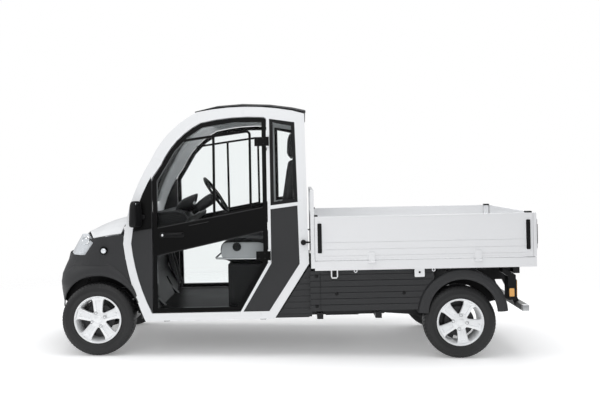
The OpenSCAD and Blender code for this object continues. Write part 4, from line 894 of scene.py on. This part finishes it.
# Bed: latches, posts' caps, hooks, plates, eyelets, bump stops
for hand, space in HANDS.items():
    body = f"dropside_{hand}"
    latches = Shape()
    for x in (BED_X0 + 0.041, BED_X1 - 0.070):
        latches.prism([(px + x, pz) for px, pz in rounded(-0.0165, 0.0165, 0.790, 1.026, 0.008)], BED_Y + 0.006, BED_Y + 0.0135)
        latches.prism([(px + x, pz) for px, pz in rounded(-0.009, 0.009, 0.828, 0.985, 0.006)], BED_Y + 0.012, BED_Y + 0.0195)
        latches.tube([(x, BED_Y + 0.012, 0.815), (x, BED_Y + 0.0195, 0.815)], 0.011, 20)
        latches.tube([(x, BED_Y + 0.012, 1.002), (x, BED_Y + 0.018, 1.002)], 0.008, 16)
    latches.piece(f"side_latches_{hand}", BLACK, "black_plastic", body, space, bevel=0.0015)
    caps = Shape()
    deck = BOARD_Z1
    for x in (BED_X1 - BOARD_T - 0.026, BED_X0 + 0.013):
        w = 0.026 if x > 2 else 0.016
        caps.block((x - w, BED_Y - BOARD_T - 0.052, deck - 0.001), (x + w, BED_Y - BOARD_T - 0.002, deck + 0.012))
    caps.piece(f"post_caps_{hand}", BLACK, "black_plastic", space=space, bevel=0.004, segments=3)
    trim = Shape()
    trim.bar([(BED_X0 + 0.006, BOARD_Z1 - 0.006), (BED_X1 - 0.032, BOARD_Z1 - 0.006)], 0.0045, BED_Y - 0.0005, BED_Y + 0.0015)
    trim.bar([(BED_X0 + 0.006, BOARD_Z0 + 0.012), (BED_X1 - 0.032, BOARD_Z0 + 0.012)], 0.003, BED_Y - 0.0005, BED_Y + 0.0015)
    trim.piece(f"board_edge_trim_{hand}", BOARD, "board_white", body, space, bevel=0.0008)
    hooks = Shape()
    for x, z in ((2.072, 0.647), (2.692, 0.645)):
        hooks.tube([(x + 0.011 * math.cos(t), BED_Y - 0.008, z - 0.004 + 0.012 * math.sin(t)) for t in (2 * math.pi * k / 20 for k in range(20))], 0.0035, 8, closed=True)
    hooks.tube([(1.880, BED_Y - 0.010, 0.652), (1.880, BED_Y - 0.010, 0.600), (1.886, BED_Y - 0.010, 0.590), (1.920, BED_Y - 0.010, 0.590),
                (1.927, BED_Y - 0.010, 0.600), (1.927, BED_Y - 0.010, 0.652)], 0.0055, 10)
    hooks.prism(rounded(2.540, 2.620, 0.585, 0.652, 0.008), BED_Y - 0.014, BED_Y - 0.008)
    hooks.piece(f"tie_down_fittings_{hand}", BOARD, "board_white", space=space)
    black = Shape()
    black.prism(rounded(1.888, 1.920, 0.600, 0.650, 0.006), BED_Y - 0.016, BED_Y - 0.010)
    black.lathe([(0.0, 0.0085), (0.004, 0.008), (0.006, 0.005), (0.0065, 0.001)], (2.580, BED_Y - 0.008, 0.622), (0, 1, 0), 16)
    for x, z in ((1.920, 0.457), (2.457, 0.454), (1.760, 0.600), (1.760, 0.360)):
        black.lathe([(-0.002, 0.014), (0.002, 0.014), (0.003, 0.011), (0.0065, 0.010), (0.008, 0.006), (0.0082, 0.001)], (x, 0.6935, z), (0, 1, 0), 20)
    black.piece(f"skirt_bolts_{hand}", BLACK, "black_plastic", space=space)
    stop = Shape()
    stop.lathe([(-0.030, 0.012), (0.000, 0.012), (0.004, 0.020), (0.016, 0.022), (0.024, 0.018), (0.027, 0.004)], (1.662, 0.664, 0.872), (0, 1, 0), 24)
    stop.tube([(1.662, 0.655, 0.872), (1.700, 0.672, 0.872), (1.722, 0.676, 0.872)], 0.007, 10)
    stop.piece(f"bump_stop_{hand}", BLACK, "black_plastic", space=space)
    lamp = Shape()
    lamp_x = BED_X1 - 0.157
    lamp.prism(rounded(lamp_x - 0.056, lamp_x - 0.016, 0.408, 0.474, 0.008), 0.688, 0.6945)
    lamp.prism(rounded(0.620, 0.674, 0.404, 0.536, 0.008), lamp_x + 0.006, lamp_x + 0.013, "yz")
    lamp.piece(f"amber_lens_{hand}", AMBER, "lamp_rear", space=space, bevel=0.002)
    red = Shape()
    red.prism(rounded(0.578, 0.616, 0.404, 0.536, 0.008), lamp_x + 0.006, lamp_x + 0.013, "yz")
    red.piece(f"red_lens_{hand}", RED, "lamp_rear", space=space, bevel=0.002)
    cap = Shape()
    x0, z0 = BED_X1 - 0.072, 0.266
    cap.loft([[(x, y, z) for x, z in rounded(x0 - 0.0005 + g, x0 + 0.0545 - g, z0 - 0.0005 + g, z0 + 0.0465 - g, 0.006)]
              for y, g in ((0.520, 0.0), (0.556, 0.0), (0.562, 0.001), (0.5625, 0.004))])
    cap.piece(f"bumper_end_{hand}", METAL, "bare_metal", space=space)
tail = Shape()
for y in (-0.695, 0.695):
    tail.prism([(py + y, pz) for py, pz in rounded(-0.0165, 0.0165, 0.790, 1.026, 0.008)], BED_X1 + 0.006, BED_X1 + 0.0135, "yz")
    tail.prism([(py + y, pz) for py, pz in rounded(-0.009, 0.009, 0.828, 0.985, 0.006)], BED_X1 + 0.012, BED_X1 + 0.0195, "yz")
tail.piece("tail_latches", BLACK, "black_plastic", "tailgate", bevel=0.0015)

# Mirror glasses on the door mirrors
for hand, space in HANDS.items():
    face = Shape()
    y0 = SIDE_Y - (1.130 - SILL_Z) * math.tan(LEAN) + 0.034
    turn = math.radians(20)
    rings = []
    for dx, grow in ((0.0325, 0.0), (0.0345, -0.002)):
        ring = []
        for py, pz in rounded(0.016 - grow, 0.096 + grow, 1.038 - grow, 1.218 + grow, 0.014):
            ring.append((0.345 + dx * math.cos(turn) - py * math.sin(turn), y0 + dx * math.sin(turn) + py * math.cos(turn), pz))
        rings.append(ring)
    face.loft(rings)
    face.piece(f"mirror_glass_{hand}", REFLECTOR, "bare_metal", space=space)

# Studio
floor_mesh = bpy.data.meshes.new("studio_floor")
floor_mesh.from_pydata([(-12, -12, 0), (12, -12, 0), (12, 12, 0), (-12, 12, 0)], [], [(0, 1, 2, 3)])
floor = bpy.data.objects.new("studio_floor", floor_mesh)
bpy.context.scene.collection.objects.link(floor)
floor_material, floor_tree, floor_shader = node_material("studio_floor", (0.97, 0.97, 0.97), 0.7, specular=0.1)
floor_shader.inputs["Emission Color"].default_value = (1, 1, 1, 1)
floor_shader.inputs["Emission Strength"].default_value = 0.22
# The floor fades into the white surround well away from the vehicle
coords = floor_tree.nodes.new("ShaderNodeTexCoord")
reach = floor_tree.nodes.new("ShaderNodeVectorMath")
reach.operation = "LENGTH"
fade = floor_tree.nodes.new("ShaderNodeMapRange")
fade.interpolation_type = "SMOOTHSTEP"
fade.inputs["From Min"].default_value = 2.6
fade.inputs["From Max"].default_value = 5.5
fade.inputs["To Min"].default_value = 1.0
fade.inputs["To Max"].default_value = 0.0
floor_tree.links.new(coords.outputs["Object"], reach.inputs[0])
floor_tree.links.new(reach.outputs["Value"], fade.inputs["Value"])
floor_tree.links.new(fade.outputs["Result"], floor_shader.inputs["Alpha"])
floor.data.materials.append(floor_material)

world = bpy.data.worlds.new("studio")
bpy.context.scene.world = world
world.use_nodes = True
tree = world.node_tree
tree.nodes.clear()
sky_out = tree.nodes.new("ShaderNodeOutputWorld")
fill = tree.nodes.new("ShaderNodeBackground")
plain = tree.nodes.new("ShaderNodeBackground")
pick = tree.nodes.new("ShaderNodeMixShader")
rays = tree.nodes.new("ShaderNodeLightPath")
either = tree.nodes.new("ShaderNodeMath")
either.operation = "MAXIMUM"
fill.inputs["Color"].default_value = (0.97, 0.98, 1.0, 1)
fill.inputs["Strength"].default_value = 0.52
plain.inputs["Color"].default_value = (1, 1, 1, 1)
plain.inputs["Strength"].default_value = 1.0
tree.links.new(rays.outputs["Is Camera Ray"], either.inputs[0])
tree.links.new(rays.outputs["Is Transmission Ray"], either.inputs[1])
tree.links.new(either.outputs["Value"], pick.inputs["Fac"])
tree.links.new(fill.outputs["Background"], pick.inputs[1])
tree.links.new(plain.outputs["Background"], pick.inputs[2])
tree.links.new(pick.outputs["Shader"], sky_out.inputs["Surface"])


def soft_light(name, place, target, size, power):
    light = bpy.data.lights.new(name, "AREA")
    light.shape = "RECTANGLE"
    light.size, light.size_y = size
    light.energy = power
    lamp = bpy.data.objects.new(name, light)
    lamp.location = place
    lamp.rotation_euler = (Vector(target) - Vector(place)).to_track_quat("-Z", "Y").to_euler()
    bpy.context.scene.collection.objects.link(lamp)
    return lamp


soft_light("top_box", (0.2, -0.4, 5.2), (0, 0, 0), (6.0, 5.0), 185)
soft_light("side_box", (-1.0, -6.0, 3.2), (0, 0, 0.7), (5.0, 3.0), 62)
soft_light("nose_box", (-5.5, -1.5, 2.6), (-1.0, 0, 0.8), (3.0, 3.0), 45)
soft_light("back_box", (3.5, 5.0, 3.0), (0, 0, 0.9), (4.0, 3.0), 60)

# Camera: the photograph's place and lens, turned with the ground line seen there
IMAGE_W = 600
FOCAL_PX = 755
ROLL = math.radians(0.40)
camera_data = bpy.data.cameras.new("camera")
camera_data.sensor_width = 36
camera_data.lens = 36 * FOCAL_PX / IMAGE_W
camera_data.shift_x = -2 / IMAGE_W
camera_data.shift_y = -27.5 / IMAGE_W
camera_data.clip_end = 100
camera = bpy.data.objects.new("camera", camera_data)
# Height and reach are taken from the ground point under the front axle
pivot = Vector((-ORIGIN_X, 0, LIFT))
turned = Matrix.Rotation(-ROLL, 4, "Y")
camera.matrix_world = (
    Matrix.Translation(pivot)
    @ turned
    @ Matrix.Translation((1.638 - 0.285 * math.sin(math.radians(1.15)), -6.730, 1.466))
    @ Matrix.Rotation(math.radians(90), 4, "X")
)
bpy.context.scene.collection.objects.link(camera)
bpy.context.scene.camera = camera
bpy.context.scene.view_settings.view_transform = "Standard"
bpy.context.scene.view_settings.look = "None"
